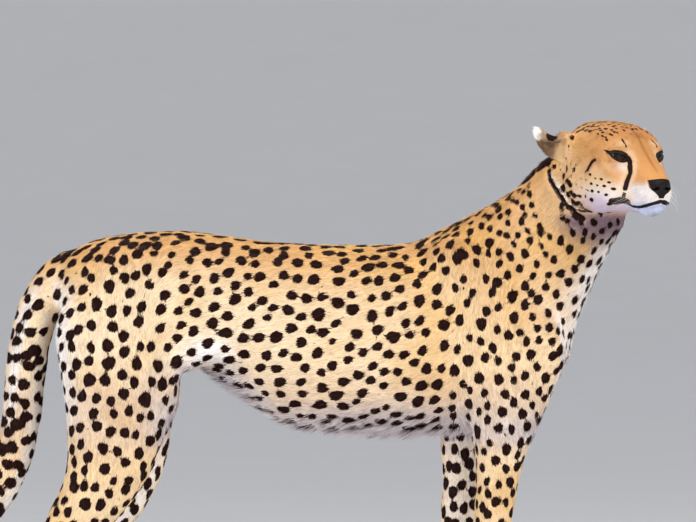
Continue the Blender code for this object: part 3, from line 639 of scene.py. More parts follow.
class Spots:
    """Oval spots with wavy edges, in a grid of cells that finds the near ones fast."""

    CELL = 0.030
    REACH = 0.006           # how far outside a spot its distance is told

    def __init__(self, centres, normals, ways, long, wide):
        self.centres, self.normals, self.ways = centres, normals, ways
        self.across = np.cross(normals, ways)
        self.long, self.wide = long.copy(), wide.copy()
        self.part_spots()
        self.waves = rng.uniform(0, 2 * math.pi, (len(centres), 3))
        self.table = {}
        low = np.floor((centres - long[:, None] - self.REACH) / self.CELL).astype(int)
        high = np.floor((centres + long[:, None] + self.REACH) / self.CELL).astype(int)
        for k in range(len(centres)):
            for cell in np.ndindex(*(high[k] - low[k] + 1)):
                self.table.setdefault(tuple(low[k] + cell), []).append(k)

    def reach(self, spot, way):
        """How far a spot goes along a way."""
        long, across = way @ self.ways[spot], way @ self.across[spot]
        return 1 / math.hypot(long / self.long[spot], across / self.wide[spot])

    def part_spots(self):
        """Shrinks the spots that would run into one another, but for a few."""
        tree = tree_of(self.centres)
        part = np.ones(len(self.centres))
        for k, centre in enumerate(self.centres):
            for _, j, far in tree.find_range(Vector(centre), MEET):
                same_side = self.normals[k] @ self.normals[j] >= SAME_SIDE
                if j <= k or not same_side or rng.random() < RUN_TOGETHER:
                    continue
                way = (self.centres[j] - centre) / far
                both = self.reach(k, way) + self.reach(j, way)
                part[[k, j]] = np.minimum(part[[k, j]], (far - SPOTS_APART) / both)
        self.long *= np.maximum(part, LEAST_SIZE)
        self.wide *= np.maximum(part, LEAST_SIZE)

    def distance(self, points):
        """How far points are outside the nearest spot, negative inside, at most FAR."""
        found = np.full(len(points), FAR)
        cells = np.floor(points / self.CELL).astype(int)
        order = np.lexsort(cells.T)
        ranked = cells[order]
        starts = np.flatnonzero(np.concatenate([[True], (np.diff(ranked, axis=0) != 0).any(axis=1)]))
        ends = np.append(starts[1:], len(points))
        for start, end in zip(starts, ends):
            near = self.table.get(tuple(ranked[start]))
            if near is None:
                continue
            rows = order[start:end]
            near = np.array(near)
            away = points[rows][:, None] - self.centres[near][None]
            a = np.einsum("ijk,jk->ij", away, self.ways[near]) / self.long[near]
            b = np.einsum("ijk,jk->ij", away, self.across[near]) / self.wide[near]
            c = np.einsum("ijk,jk->ij", away, self.normals[near]) / (self.long[near] * 1.2)
            turn = np.arctan2(b, a)
            wavy = 1.0
            for k, (count, height) in enumerate(WAVES):
                wavy = wavy + height * np.sin(count * turn + self.waves[near, k])
            gap = (np.sqrt(a * a + b * b + c * c) / wavy - 1) * self.wide[near]
            found[rows] = np.minimum(found[rows], gap.min(axis=1))
        return found


# Dark lines and patches of the face in the head's axes, for the left side: half width and path. All are
# markings but the ruff's line, which is painted shadow where the ruff overlaps the neck.
FACE_LINES = {
    "tear": (0.0040, (0.003, 0.0250, -0.003), (0.010, 0.0270, -0.010), (0.0130, 0.0285, -0.019),
             (0.0140, 0.0290, -0.028), (0.0105, 0.0320, -0.038), (0.0070, 0.0335, -0.050)),
    "tear_end": (0.0030, (0.0048, 0.0337, -0.0585), (0.0030, 0.0340, -0.0630)),
    "mouth_corner": (0.0052, (-0.0120, 0.0420, -0.0705), (-0.0035, 0.0357, -0.0685),
                     (0.0060, 0.0290, -0.0710)),
    "mouth_back": (0.0026, (-0.0190, 0.0450, -0.0745), (-0.0100, 0.0415, -0.0715)),
    "mouth": (0.0024, (0.0560, 0.0000, -0.0690), (0.0500, 0.0100, -0.0728), (0.0453, 0.0190, -0.0753),
              (0.0356, 0.0225, -0.0780), (0.0237, 0.0235, -0.0792), (0.0120, 0.0245, -0.0780),
              (0.0045, 0.0280, -0.0750)),
    "eye_tail": (0.0024, (-0.0100, 0.0485, 0.0042), (-0.0150, 0.0512, 0.0064)),
    "eye_tip": (0.0011, (-0.0150, 0.0512, 0.0064), (-0.0205, 0.0540, 0.0086)),
    "brow": (0.0019, (-0.0085, 0.0280, 0.0245), (-0.0025, 0.0290, 0.0185), (0.0030, 0.0295, 0.0135)),
    "stripe": (0.0024, (-0.0480, 0.0650, -0.0225), (-0.0376, 0.0640, -0.0100),
               (-0.0320, 0.0630, -0.0065)),
    # Painted shadow: a dark line along the back edge of the ruff, where it overlaps the neck; sculpt_face
    # cuts a groove along it.
    "ruff": (0.0038, (-0.145, 0.0710, -0.024), (-0.128, 0.0690, -0.048), (-0.117, 0.0640, -0.064),
             (-0.107, 0.0540, -0.081), (-0.101, 0.0330, -0.098)),
    "mane": (0.0090, (-0.156, 0.0600, -0.008), (-0.168, 0.0620, -0.018)),
    "nape": (0.0075, (-0.182, 0.0640, -0.031), (-0.192, 0.0670, -0.040)),
}
SEEN_FROM_SIDE = ("stripe", "ruff", "mane", "nape")     # where they lie across the head doesn't count
RUFF_EDGE = ((-0.138, 0.0710, -0.030), (-0.120, 0.0685, -0.050), (-0.109, 0.0635, -0.066),
             (-0.098, 0.0520, -0.082))
PHILTRUM = ((0.060, 0, -0.060), (0.0585, 0, -0.067), (0.056, 0, -0.0745))
# Rows of dots on the cheek: first and last place, number of dots and their half width.
CHEEK_ROWS = (
    ((-0.012, 0.050, -0.041), (-0.052, 0.066, -0.026), 5, 0.0021),
    ((-0.008, 0.048, -0.051), (-0.064, 0.066, -0.036), 6, 0.0024),
    ((-0.018, 0.051, -0.060), (-0.092, 0.065, -0.044), 7, 0.0027),
    ((-0.046, 0.057, -0.068), (-0.108, 0.061, -0.054), 5, 0.0034),
    ((-0.076, 0.066, -0.014), (-0.100, 0.064, -0.040), 4, 0.0036),
    ((-0.088, 0.061, -0.061), (-0.093, 0.038, -0.086), 3, 0.0034),
)
WHISKER_ROWS = ((-0.046, 3), (-0.053, 4), (-0.060, 4), (-0.067, 3))     # level and number
OFF = 0.05                  # distance given to points on the wrong part of the head
SIDE_FROM = 0.030           # the sides of the head begin this far out


def halved(points):
    """Points in the head's axes, with the right side laid over the left one."""
    local = to_head(points)
    local[:, 1] = np.abs(local[:, 1])
    return local


def eye_axes(side):
    """The eye's centre in the head's axes and its own axes: where it looks, outwards, up."""
    turn = Matrix.Rotation(EYE_TURN * side, 3, "Z") @ Matrix.Rotation(EYE_SLANT * side, 3, "X")
    turn = np.array(turn)
    turn[:, 1] *= side
    return np.array((-EYE_BACK, EYE_SIDE * side, 0.0)), turn


# The opening between the lids: half length, how far the upper and lower lids stand off its line,
# and how far the inner corner dips.
LID_HALF = 0.0140
LID_UPPER = 0.0051
LID_LOWER = 0.0056
LID_DIP = 0.0022


def lid_curves(along):
    """Heights of the upper and lower lid's edge, from the inner corner (-1) to the outer one (1)."""
    arch = np.sqrt(np.clip(1 - along**2, 0, 1))
    base = LID_DIP * (along - 1) / 2
    upper = base + LID_UPPER * arch ** 1.10 * (1 - 0.30 * along)
    lower = base - LID_LOWER * arch ** 1.3 * (1 - 0.15 * along)
    return upper, lower


def in_eye(points, side):
    """Points in the axes of an eye, from its centre."""
    centre, turn = eye_axes(side)
    return (to_head(points) - centre) @ turn


def eye_gap(local):
    """How far points, in an eye's axes, are outside the opening between its lids."""
    along = local[:, 1] / LID_HALF
    upper, lower = lid_curves(np.clip(along, -1, 1))
    gap = np.maximum(local[:, 2] - upper, lower - local[:, 2])
    past = (np.abs(along) - 1) * LID_HALF
    corner = np.hypot(np.maximum(past, 0), np.maximum(gap, 0))
    gap = np.where(past > 0, corner, np.where(gap < 0, np.maximum(gap, past * 0.7), gap))
    return np.where(local[:, 0] > 0, gap, OFF)


def nose_gap(local):
    """How far points are outside the nose's leather, in the head's axes."""
    half = 0.0050 + 0.0155 * step(local[:, 2], -0.0650, -0.0480)
    side = np.abs(local[:, 1]) - half
    above = local[:, 2] + 0.0350 + 1.1 * np.abs(local[:, 1]) ** 1.6
    tall = np.maximum(above, -0.0655 - local[:, 2])
    return np.where(local[:, 0] > 0.030, np.maximum(side, tall), OFF)


def to_side_path(local, path):
    """How far points on the sides of the head are from a path, as seen from the side."""
    far = to_path(local * (1, 0, 1), np.array(path) * (1, 0, 1))
    return np.where(local[:, 1] > SIDE_FROM, far, OFF)


def to_mouth(local, name="mouth"):
    """How far points are from the mouth's lines, where the way across the head counts for less."""
    return to_path(local * (1, 0.35, 1), np.array(FACE_LINES[name][1:]) * (1, 0.35, 1))


def to_face_line(local, name):
    """How far points are from the middle of one of FACE_LINES."""
    if name.startswith("mouth"):
        return to_mouth(local, name)
    return (to_side_path if name in SEEN_FROM_SIDE else to_path)(local, FACE_LINES[name][1:])


def face_dark(points):
    """How far points are outside the dark lines and dots of the face."""
    local = halved(points)
    found = np.full(len(points), FAR)
    for name, (width, *_) in FACE_LINES.items():
        found = np.minimum(found, to_face_line(local, name) - width)
    found = found + 0.0007 * lattice(points, 0.0035, 41)
    found = np.minimum(found, to_path(local, PHILTRUM) - 0.0015)
    for side in (-1, 1):
        mine = np.sign(to_head(points)[:, 1]) == side
        eye = in_eye(points, side)
        band = 0.0029 + 0.0012 * step(eye[:, 2], -0.002, 0.004)
        found = np.where(mine, np.minimum(found, eye_gap(eye) - band), found)
    for start, end, count, size in CHEEK_ROWS:
        for part in np.linspace(0, 1, count):
            dot = np.array(start) * (1 - part) + np.array(end) * part
            dot[2] += 0.0015 * math.sin(9 * part)
            stretch = (local - dot) * (0.8, 0, 1.1)
            stretch[:, 1] = np.where(local[:, 1] > SIDE_FROM, 0, OFF)
            half = size * (0.8 + 0.4 * math.sin(5 * part + start[2] * 900) ** 2)
            found = np.minimum(found, np.linalg.norm(stretch, axis=1) - half)
    return found


def whisker_roots():
    """Places of the whiskers on the left pad, in rows, in the head's axes."""
    found = []
    first, run = np.array((0.0470, 0.0215, 0)), np.array((-0.0300, 0.0095, 0.002))
    for row, (level, count) in enumerate(WHISKER_ROWS):
        for k in range(count):
            found.append(first + UP * level + run * (k + 0.35 * (row % 2)) / 4.4)
    return np.array(found)


def shade(rgb):
    """A colour given as light on a screen, 0 to 255, as amounts of light."""
    part = np.array(rgb, float) / 255
    return np.where(part <= 0.04045, part / 12.92, ((part + 0.055) / 1.055) ** 2.4)


GOLD = shade((206, 155, 94))
SAND = shade((232, 199, 154))
CREAM = shade((242, 224, 196))
WHITE = shade((240, 234, 232))
# Painted shade: grey for the shaded lower body, belly and underside of the jaw.
SHADE_GREY = shade((166, 152, 170))
# Painted shade: bluish white for the chin's shaded side.
CHIN_SHADE = shade((168, 176, 204))
# Painted shade: lilac for the shaded jowls.
JOWL_SHADE = shade((178, 164, 190))
HONEY = shade((220, 172, 98))
# Painted shadow on the throat under the jaw.
SHADOW = shade((118, 100, 118))
RUST = shade((184, 112, 60))
DARK = shade((30, 8, 4))
LEATHER = shade((24, 16, 16))


def blend(base, colour, share):
    return base + (colour - base) * np.clip(share, 0, 1)[:, None]


def layer(colour, *layers):
    """A colour under layers, each a colour and its share at every point."""
    for over, share in layers:
        colour = blend(colour, over, share)
    return colour


COAT_LIGHT = 0.965          # the whole coat is this part as light as its colours


def coat_colour(points, normals, coat, place):
    """The colour of the coat between its markings."""
    x, _, z = points.T
    top = step(normals[:, 2], -0.10, 0.85)
    shoulder = step(x, CHEST_LOW[0] - 0.05, CHEST_LOW[0] + 0.13) * step(z, 0.60, 0.74)
    honey = step(lattice(points, 0.055, 7) + 0.35 * lattice(points, 0.02, 8), -0.15, 0.55)
    flank = step(-np.abs(z - 0.60), -0.12, -0.02) * (1 - step(x, 0.20, 0.32))
    colour = layer(
        np.tile(CREAM, (len(points), 1)),
        (SAND, 0.75 + 0.25 * lattice(points, 0.09, 1)),
        (GOLD, top * 0.85),
        (GOLD, 0.55 * shoulder),
        (RUST, 0.18 * top * step(z, 0.70, 0.76)),
        (HONEY, 0.42 * honey),
        (CREAM, 0.45 * flank * (0.7 + 0.3 * lattice(points, 0.06, 2))),
    )
    tail = 1 - step(x, RUMP_LOW[0] - 0.03, RUMP_LOW[0] + 0.01)
    tail_under = tail * 0.80 * step(normals[:, 0] - 0.6 * normals[:, 2], 0.25, 0.80)
    tail_end = tail * step(-x, -RUMP_LOW[0] + 0.10, -RUMP_LOW[0] + 0.30)
    fold = np.exp(-(((x + 0.036) / 0.036) ** 2) - ((z - 0.580) / 0.024) ** 2)
    colour = layer(
        colour * 0.97,
        # Painted shade: a grey band low on the body, at the height of the belly.
        (SHADE_GREY, 0.22 * (1 - step(z, 0.50, 0.58)) * step(z, 0.40, 0.46)),
        *((WHITE, 0.95 * place[name]) for name in ("under", "brisket", "throat", "seat")),
        # Painted shade: the white belly greyed where it lies in shade.
        (SHADE_GREY, 0.62 * place["under"]),
        (WHITE, 0.92 * place["inner"]),
        (CREAM, 0.6 * (1 - step(z, 0.03, 0.16))),
        (WHITE, tail_under),
        (WHITE, 0.55 * tail_end),
        (WHITE, 1.2 * (fold * step(np.abs(normals[:, 1]), 0.2, 0.6))),
    )
    return blend_face(colour * COAT_LIGHT, coat["skull"], points, normals)


# Reddish lines behind the eye, as seen in the head's axes: start, end and strength.
CHEEK_LINES = (
    ((-0.050, 0.066, -0.028), (-0.034, 0.063, -0.006), 0.85),
    ((-0.034, 0.063, -0.006), (-0.012, 0.052, -0.026), 0.5),
)


def blend_face(colour, skull, points, normals):
    """The colours of the head over those of the coat, with painted shade along the nose's ridge, on the
    chin, under the jaw, on the jowls and on the throat.
    """
    spot = halved(points)
    forward, aside, up = spot.T
    back = step(-forward, -0.010, 0.030)
    front = step(forward, -0.05, -0.02)
    # Painted shade: a rust line down the middle of the forehead and nose, where the near side of the head
    # turns to the far side.
    seam = bump(aside, 0.0, 0.0030) * step(up, -0.035, -0.010) * front
    mottled = step(lattice(spot, 0.0075, 33) + 0.5 * lattice(spot, 0.003, 34), 0.0, 0.9)
    mottled = mottled * step(up, -0.035, -0.010)
    colour = layer(
        colour,
        (GOLD, 0.85 * skull),
        (RUST, skull * (0.34 + 0.20 * step(up, 0.005, 0.045))),
    )
    colour = layer(
        colour * (1 - skull * (0.06 + 0.15 * step(up, -0.035, 0.010)))[:, None],
        # Painted shade along the nose's ridge.
        (RUST * 0.6, 0.75 * seam * skull),
        (SAND * 0.80, 0.75 * (skull * step(-up, -0.002, 0.030) * back)),
        (WHITE * 0.80, 0.75 * (skull * step(-up, 0.030, 0.060) * step(aside, 0.020, 0.045))),
        (RUST * 0.38, 0.48 * mottled * skull * step(-forward, -0.020, 0.010)),
    )
    for start, end, share in CHEEK_LINES:
        far = to_line(spot, np.array(start), np.array(end))
        colour = blend(colour, RUST * 0.7, share * bump(far, 0, 0.0042) * skull)
    below_eye = bump(forward, 0.004, 0.013) * bump(aside, 0.036, 0.012) * bump(up, -0.018, 0.008)
    beside_tear = bump(to_face_line(spot, "tear"), 0.0078, 0.0045)
    brow = bump(forward, -0.006, 0.018) * bump(aside, 0.030, 0.012) * bump(up, 0.017, 0.006)
    muzzle = step(forward, 0.004, 0.026) * step(-up, 0.036, 0.052)
    muzzle = muzzle * np.maximum(step(aside, 0.006, 0.014), step(-up, 0.052, 0.058))
    chin = step(forward, -0.030, 0.010) * step(-up, 0.066, 0.076)
    jaw = skull * step(-normals[:, 2], 0.25, 0.8) * step(-up, 0.055, 0.080)
    jowl = skull * step(-up, 0.050, 0.072) * step(-forward, 0.0, 0.030)
    close = 1 - step(np.linalg.norm(spot, axis=1), 0.150, 0.190)
    below = close * step(-up, 0.084, 0.096) * step(normals[:, 0], -0.30, 0.15)
    colour = layer(
        colour,
        (WHITE * 0.8, 0.50 * below_eye * skull),
        (CREAM, 0.30 * beside_tear * skull),
        (SAND, 0.55 * brow * skull),
        (WHITE * 0.72, 0.95 * muzzle * skull),
        # Painted shade: the chin's shaded side bluish, the jaw's underside grey, the jowls lilac and the
        # throat dark under the jaw.
        (CHIN_SHADE, 0.95 * chin * skull),
        (SHADE_GREY, 0.7 * jaw * step(-forward, -0.030, 0.010)),
        (JOWL_SHADE * 0.92, 0.85 * jowl),
        (SHADOW, 0.9 * below),
        (WHITE, 0.9 * bump(to_side_path(spot, RUFF_EDGE), 0, 0.0040) * close),
    )
    return blend_ear(colour, spot, points, normals)


def blend_ear(colour, spot, points, normals):
    """The ear: painted shade where it opens, dark reddish and darkest at its lower edge, with pale streaks
    of hair; pale at its tip.
    """
    forward, aside, up = spot.T
    turned = normals @ HEAD_TURN
    open_way = 0.7 * turned[:, 0] + 0.7 * turned[:, 1] * np.sign(to_head(points)[:, 1])
    ear = step(aside, 0.066, 0.078) * step(up, -0.012, 0.002) * step(-forward, 0.085, 0.100)
    inside = ear * step(open_way, 0.0, 0.4)
    streaks = 0.5 + 0.5 * lattice(spot * (1, 1, 0.4), 0.004, 31)
    return layer(
        colour,
        # Painted shade in the ear's opening: dark reddish, in streaks, darkest at its lower edge; between
        # them pale streaks of hair.
        (RUST * 0.25, 0.40 * inside),
        (RUST * 0.30, 0.80 * inside * streaks),
        (CREAM * 0.8, 0.6 * inside * (1 - streaks)),
        (RUST * 0.10, 0.80 * inside * step(0.028 - up, -0.006, 0.010)),
        (WHITE, ear * step(aside, 0.0985, 0.103)),
    )


# ---- Sculpting the skin
LID_THICK = 0.0012          # of the lids at their edge
LID_SWELL = 0.0010          # how much thicker they get away from it
LID_CREASE, LID_FOLD = (0.0050, 0.0012), (0.0078, 0.0018)       # how far from the edge, half width
LID_REACH = 0.0120          # how far from the opening the skin is laid on the eyeball
SOCKET = 0.0030             # how deep behind the eyeball's front the skin is in the opening
PAW_SIZES = {"foreleg": (0.092, 0.064, 0.043), "hindleg": (0.088, 0.058, 0.040)}    # long, wide, tall
TOE_GROOVES = (-0.235, 0.0, 0.235)      # between the toes, as parts of the paw's width
GROOVE_DEPTH, GROOVE_WIDTH = 0.0082, 0.0034
KNUCKLE = 0.0018            # how far the toes' knuckles stand up


def sculpt_eyes(points):
    """Lays the lids on the eyeballs and drops the skin behind them in the opening."""
    for side in (-1, 1):
        centre, turn = eye_axes(side)
        local = in_eye(points, side)
        reach = np.linalg.norm(local, axis=1)
        near = (reach < 0.040) & (local[:, 0] > 0.002)
        gap = eye_gap(local)
        lid = EYE_RADIUS + LID_THICK + LID_SWELL * step(gap, 0.0010, 0.0060)
        upper = local[:, 2] > 0
        lid = lid - np.where(upper, 0.0008, 0.0005) * bump(gap, *LID_CREASE)
        lid = lid + 0.0007 * bump(gap, *LID_FOLD) * upper
        outside = lid + (np.maximum(reach, lid) - lid) * step(gap, 0.0030, 0.0110)
        inside = EYE_RADIUS - SOCKET * step(-gap, 0.0, 0.0010)
        wanted = np.where(gap > 0, outside, inside + LID_THICK * (1 - step(-gap, 0, 0.0010)))
        share = np.where(near & (gap < LID_REACH), 1.0, 0.0)
        moved = local * (wanted / reach)[:, None]
        local = local + (moved - local) * share[:, None]
        points = np.where(near[:, None], from_head(local @ turn.T + centre), points)
    return points


RUFF_BACK = ((-0.150, 0.052, 0.0), (-0.200, 0.060, -0.040))     # a fold behind the ruff
NOSTRIL_DEPTH = 0.0062


def sculpt_face(points, normals):
    """Nose, nostrils, philtrum, lips, brow, ruff, whisker roots and ears."""
    local = halved(points)
    forward, aside, up = local.T
    gap = nose_gap(local)
    front = step(forward, 0.036, 0.044)
    wing = bump(np.hypot(aside - 0.0115, up + 0.0500), 0.0062, 0.0022) * front
    mouth = to_mouth(local)
    bridge = step(up, 0.004, 0.014)
    seam = bump(aside, 0, 0.0028) * step(-forward, -0.006, 0.006) * bridge
    # Each change is how far the skin is raised and a share at every point.
    changes = [
        (0.0009, step(-gap, -0.0002, 0.0012)),
        (-0.0006, bump(gap, 0.0009, 0.0008)),
        (0.0010, wing),
        (-0.0014, bump(to_path(local, PHILTRUM), 0, 0.0011)),
        (-0.0020, bump(mouth, 0, 0.0013)),
        (0.0008, bump(mouth, 0.0030, 0.0018) * step(forward, 0.0, 0.02)),
        (-0.0034, bump(to_face_line(local, "ruff"), 0, 0.0045)),
        (0.0020, bump(to_side_path(local, RUFF_EDGE), 0, 0.0060)),
        (0.0060, bump(to_path(local, RUFF_BACK), 0, 0.0150)),
        (-0.0011, seam * step(forward, -0.05, -0.02)),
        (0.0009, bump(aside, 0.0075, 0.0040) * bump(forward, -0.002, 0.014) * bridge),
    ]
    for root in whisker_roots():
        changes.append((-0.0006, bump(np.linalg.norm(local - root, axis=1), 0, 0.0012)))
    points = points + normals * sum(rise * share for rise, share in changes)[:, None]
    points = sculpt_ears(points, forward, aside, up)
    nostril = np.hypot((aside - 0.0090) / 0.0046, (up + 0.0502 + 0.22 * (aside - 0.009)) / 0.0027)
    tail = np.hypot((aside - 0.0145) / 0.0030, (up + 0.0515) / 0.0014)
    inward = step(1.15 - np.minimum(nostril, tail * 1.1), 0.0, 0.75) * front
    return points - HEAD_TURN[:, 0] * (NOSTRIL_DEPTH * inward)[:, None]


def sculpt_ears(points, forward, aside, up):
    """Lowers the upper edge of the ears and draws their tips out."""
    ear = step(aside, 0.062, 0.070) * step(-forward, 0.080, 0.095)
    cut = 0.0145 * bump(aside, 0.0840, 0.0120) + 0.0060 * bump(aside, 0.0735, 0.0060)
    points = points - HEAD_TURN[:, 2] * (cut * ear * step(up, 0.010, 0.038))[:, None]
    tip = (ear * step(aside, 0.092, 0.101) * step(up, 0.020, 0.034))[:, None]
    points = points + unit(HEAD_TURN @ (-0.1, 0, 0.6)) * 0.0050 * tip
    return points + HEAD_TURN[:, 1] * 0.0060 * tip * np.sign(to_head(points)[:, 1:2])


def sculpt_paws(points, normals):
    """Grooves between the toes, and the knuckles."""
    for leg, (length, width, height) in PAW_SIZES.items():
        for word in SIDES:
            low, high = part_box(f"{leg}_{word}_paw")
            tip, middle = high[0], (low[1] + high[1]) / 2
            across = points[:, 1] - middle
            near = (points[:, 0] > low[0] - 0.03) & (points[:, 0] < tip + 0.01)
            near &= (np.abs(across) < width) & (points[:, 2] < height * 1.6)
            toes = step(points[:, 0], tip - 0.52 * length, tip - 0.30 * length) * near
            toes = toes * step(points[:, 2], 0.001, 0.006)
            groove = sum(bump(across, part * width, GROOVE_WIDTH) for part in TOE_GROOVES)
            knuckle = bump(points[:, 0], tip - 0.34 * length, 0.010) * step(normals[:, 2], 0.2, 0.8)
            lowered = toes * groove * GROOVE_DEPTH - toes * knuckle * KNUCKLE
            points = points - normals * lowered[:, None]
    return points


def refine_where(thing, chosen):
    """Splits the edges whose both ends are chosen."""
    bm = bmesh.new()
    bm.from_mesh(thing.data)
    bm.verts.ensure_lookup_table()
    edges = [edge for edge in bm.edges if all(chosen[vert.index] for vert in edge.verts)]
    bmesh.ops.subdivide_edges(bm, edges=edges, cuts=1, use_grid_fill=True)
    bm.to_mesh(thing.data)
    bm.free()


def thin(thing, chosen, target, rough):
    """Thins the triangles whose corners are chosen down to about target of them. They come out evenly
    small because the surface is made rough first, and the corners that are left go back to it."""
    points, corners = corners_of(thing.data), triangles_of(thing.data)
    surface = BVHTree.FromPolygons(points.tolist(), corners.tolist())
    group = thing.vertex_groups.new(name="thin")
    group.add(np.flatnonzero(chosen).tolist(), 1.0, "REPLACE")
    touched = int(chosen[corners].all(axis=1).sum())
    moved = points + normals_of(thing.data) * (rng.normal(0, rough, len(points)) * chosen)[:, None]
    set_corners(thing.data, moved)
    fewer = thing.modifiers.new("thin", "DECIMATE")
    fewer.ratio = (len(corners) - touched + target) / len(corners)
    fewer.vertex_group = group.name
    fewer.use_collapse_triangulate = True
    settle(thing)
    thing.vertex_groups.clear()
    left = corners_of(thing.data).tolist()
    set_corners(thing.data, np.array([surface.find_nearest(point)[0] for point in left]))


def face_part(points):
    """Which points are on the front of the head, and which of them near the eyes or the nose."""
    local = halved(points)
    face = (local[:, 0] > -0.048) & (np.linalg.norm(local, axis=1) < 0.13)
    eye = np.linalg.norm(local - (-EYE_BACK + 0.012, EYE_SIDE + 0.004, 0), axis=1) < 0.021
    nose = (local[:, 0] > 0.034) & (local[:, 2] > -0.088)
    return face, face & (eye | nose)


DEPTH_ROUNDS = 6            # rounds that even out how far the skin is drawn in
SKIN_ROUGH, FACE_ROUGH = 0.0005, 0.00004        # how rough the surface is made before it is thinned


def make_skin():
    """The skin: the form drawn in by the coat's depth, sculpted, and thinned to its triangles."""
    skin = make_form()
    points, normals = corners_of(skin.data), normals_of(skin.data)
    coat, _ = coat_at(points, normals)
    sole = step(-normals[:, 2], 0.5, 0.9) * (points[:, 2] < NO_HAIR_UNDER)
    depth = spread(coat["depth"] + CLOSE * CLOSE_LEFT, edges_of(skin.data), DEPTH_ROUNDS)
    set_corners(skin.data, points - normals * (depth * (1 - sole))[:, None])
    for level in (0, 1):
        refine_where(skin, face_part(corners_of(skin.data))[level])
    points = sculpt_paws(corners_of(skin.data), normals_of(skin.data))
    points[:, 2] = np.maximum(points[:, 2], 0)
    points = sculpt_face(points, normals_of(skin.data))
    set_corners(skin.data, sculpt_eyes(points))
    thin(skin, ~face_part(corners_of(skin.data))[0], SKIN_TRIANGLES, SKIN_ROUGH)
    thin(skin, face_part(corners_of(skin.data))[0], FACE_TRIANGLES, FACE_ROUGH)
    skin.name = skin.data.name = "skin"
    skin.data.shade_smooth()
    return skin


# ---- Unwrap
SQUARES = ((0, 0), (0.5, 0), (0, 0.5), (0.5, 0.5))
SQUARE, SQUARE_MARGIN = 0.496, 0.002


def unwrap(skin):
    """Four squares of the map: the head, the legs with the tail, and the two sides of the trunk."""
    mesh = skin.data
    points = corners_of(mesh)
    corners = triangles_of(mesh)
    middles = points[corners].mean(axis=1)
    local = to_head(middles)
    head = (local[:, 0] > -0.14) & (middles[:, 2] > 0.76) & (np.linalg.norm(local, axis=1) < 0.20)
    tail = middles[:, 0] < RUMP_LOW[0] + 0.01
    legs = (middles[:, 2] < 0.44) | tail
    right = middles[:, 1] < MIDLINE
    parts = np.where(head, 0, np.where(legs, 1, np.where(right, 2, 3)))
    mesh.uv_layers.new(name="OFBake")
    bpy.ops.object.select_all(action="DESELECT")
    bpy.context.view_layer.objects.active = skin
    skin.select_set(True)
    found = np.zeros((len(mesh.loops), 2), np.float32)
    loops_part = np.repeat(parts, 3)
    for part, (u, v) in enumerate(SQUARES):
        mesh.polygons.foreach_set("select", parts == part)
        mesh.update()
        bpy.ops.object.mode_set(mode="EDIT")
        bpy.ops.uv.smart_project(angle_limit=math.radians(66), island_margin=0.004)
        bpy.ops.object.mode_set(mode="OBJECT")
        uv = np.empty(len(mesh.loops) * 2, np.float32)
        mesh.uv_layers["OFBake"].data.foreach_get("uv", uv)
        mine = loops_part == part
        found[mine] = uv.reshape(-1, 2)[mine] * SQUARE + (u + SQUARE_MARGIN, v + SQUARE_MARGIN)
    mesh.uv_layers["OFBake"].data.foreach_set("uv", found.ravel())
    return found.reshape(-1, 3, 2)


# ---- Marks at points
def tail_run(points):
    """How far points are from the tail's tip along the tail, and from its middle."""
    ends = BONES[-len(TAIL_NODES) - 1:]
    lengths = np.linalg.norm(ends[:, 3:6] - ends[:, :3], axis=1)
    done = np.concatenate([[0], np.cumsum(lengths)])
    best, run = np.full(len(points), 9.0), np.zeros(len(points))
    for k, row in enumerate(ends):
        part, far = on_line(points, row[:3], row[3:6])
        run = np.where(far < best, done[k] + part * lengths[k], run)
        best = np.minimum(best, far)
    return done[-1] - run, best


# Dark rings of the tail: how far from its tip, and half width.
TAIL_RINGS = ((0.050, 0.017), (0.100, 0.014), (0.145, 0.012), (0.187, 0.011))
TAIL_REACH = 0.06           # points nearer than this to the tail's middle are on it
HEAD_REACH = 0.23           # and to the point between the pupils, on the head
SPOTS_END = 0.21            # no spots nearer to the tail's tip
EAR_PATCH = ((-0.112, 0.0855, 0.0300), 0.0080)      # the dark back of the ear


def dark_at(points, normals, spots):
    """How far points are outside the dark markings of the whole animal and the painted shadow line behind
    the ruff, in metres.
    """
    found = spots.distance(points)
    head = np.linalg.norm(to_head(points), axis=1) < HEAD_REACH
    found[head] = np.minimum(found[head], face_dark(points[head]))
    run, far = tail_run(points)
    wavy = 0.004 * lattice(points, 0.02, 5)
    for middle, half in TAIL_RINGS:
        ring = np.abs(run - middle + wavy) - half
        found = np.where(far < TAIL_REACH, np.minimum(found, ring), found)
    place, radius = EAR_PATCH
    away = np.linalg.norm((halved(points) - place) * (1, 0.8, 1), axis=1)
    found = np.minimum(found, np.where(normals @ HEAD_TURN[:, 0] < 0.95, away - radius, FAR))
    return np.clip(found, -FAR, FAR)


SPOT_SIZE = 1.11            # all the spots are this much larger than the bones say
SPOT_SPREAD = (0.09, 0.75, 1.22)        # of the spots' sizes: deviation, least and most
SPOT_TURN = 0.22            # deviation of their turn
SPOT_WIDTHS = (0.88, 1.08)  # their width as a part of the bones', least and most
DOT_SIZES = (0.0018, 0.0036)        # half length of the small dots, least and most
DOT_WIDTHS = (0.60, 0.95)   # their width as a part of it
SMALL_TRIES = 6000          # places tried for the small dots between the spots
SMALL_CLEAR = 0.0050        # how far outside the spots they stay
SMALL_APART = 0.022
SMALL_PART = 0.45           # part of the places found that are used


def spots_allowed(points, coat, place):
    """Where spots may be: not on the plain face, ears, belly, throat, tail's end and soles."""
    local = halved(points)
    plain_face = (local[:, 0] > -0.018) | (local[:, 2] < 0.022) | (local[:, 1] > 0.050)
    ears = np.linalg.norm(to_head(points), axis=1) < 0.19
    ears = ears & (local[:, 1] > 0.066) & (local[:, 0] < -0.09)
    throat = (place["throat"] > 0.35) & (points[:, 2] > 0.77)
    allowed = ~((coat["skull"] > 0.35) & plain_face) & (place["under"] < 0.93) & ~ears & ~throat
    return allowed & (tail_run(points)[0] > SPOTS_END) & (points[:, 2] > NO_HAIR_UNDER)


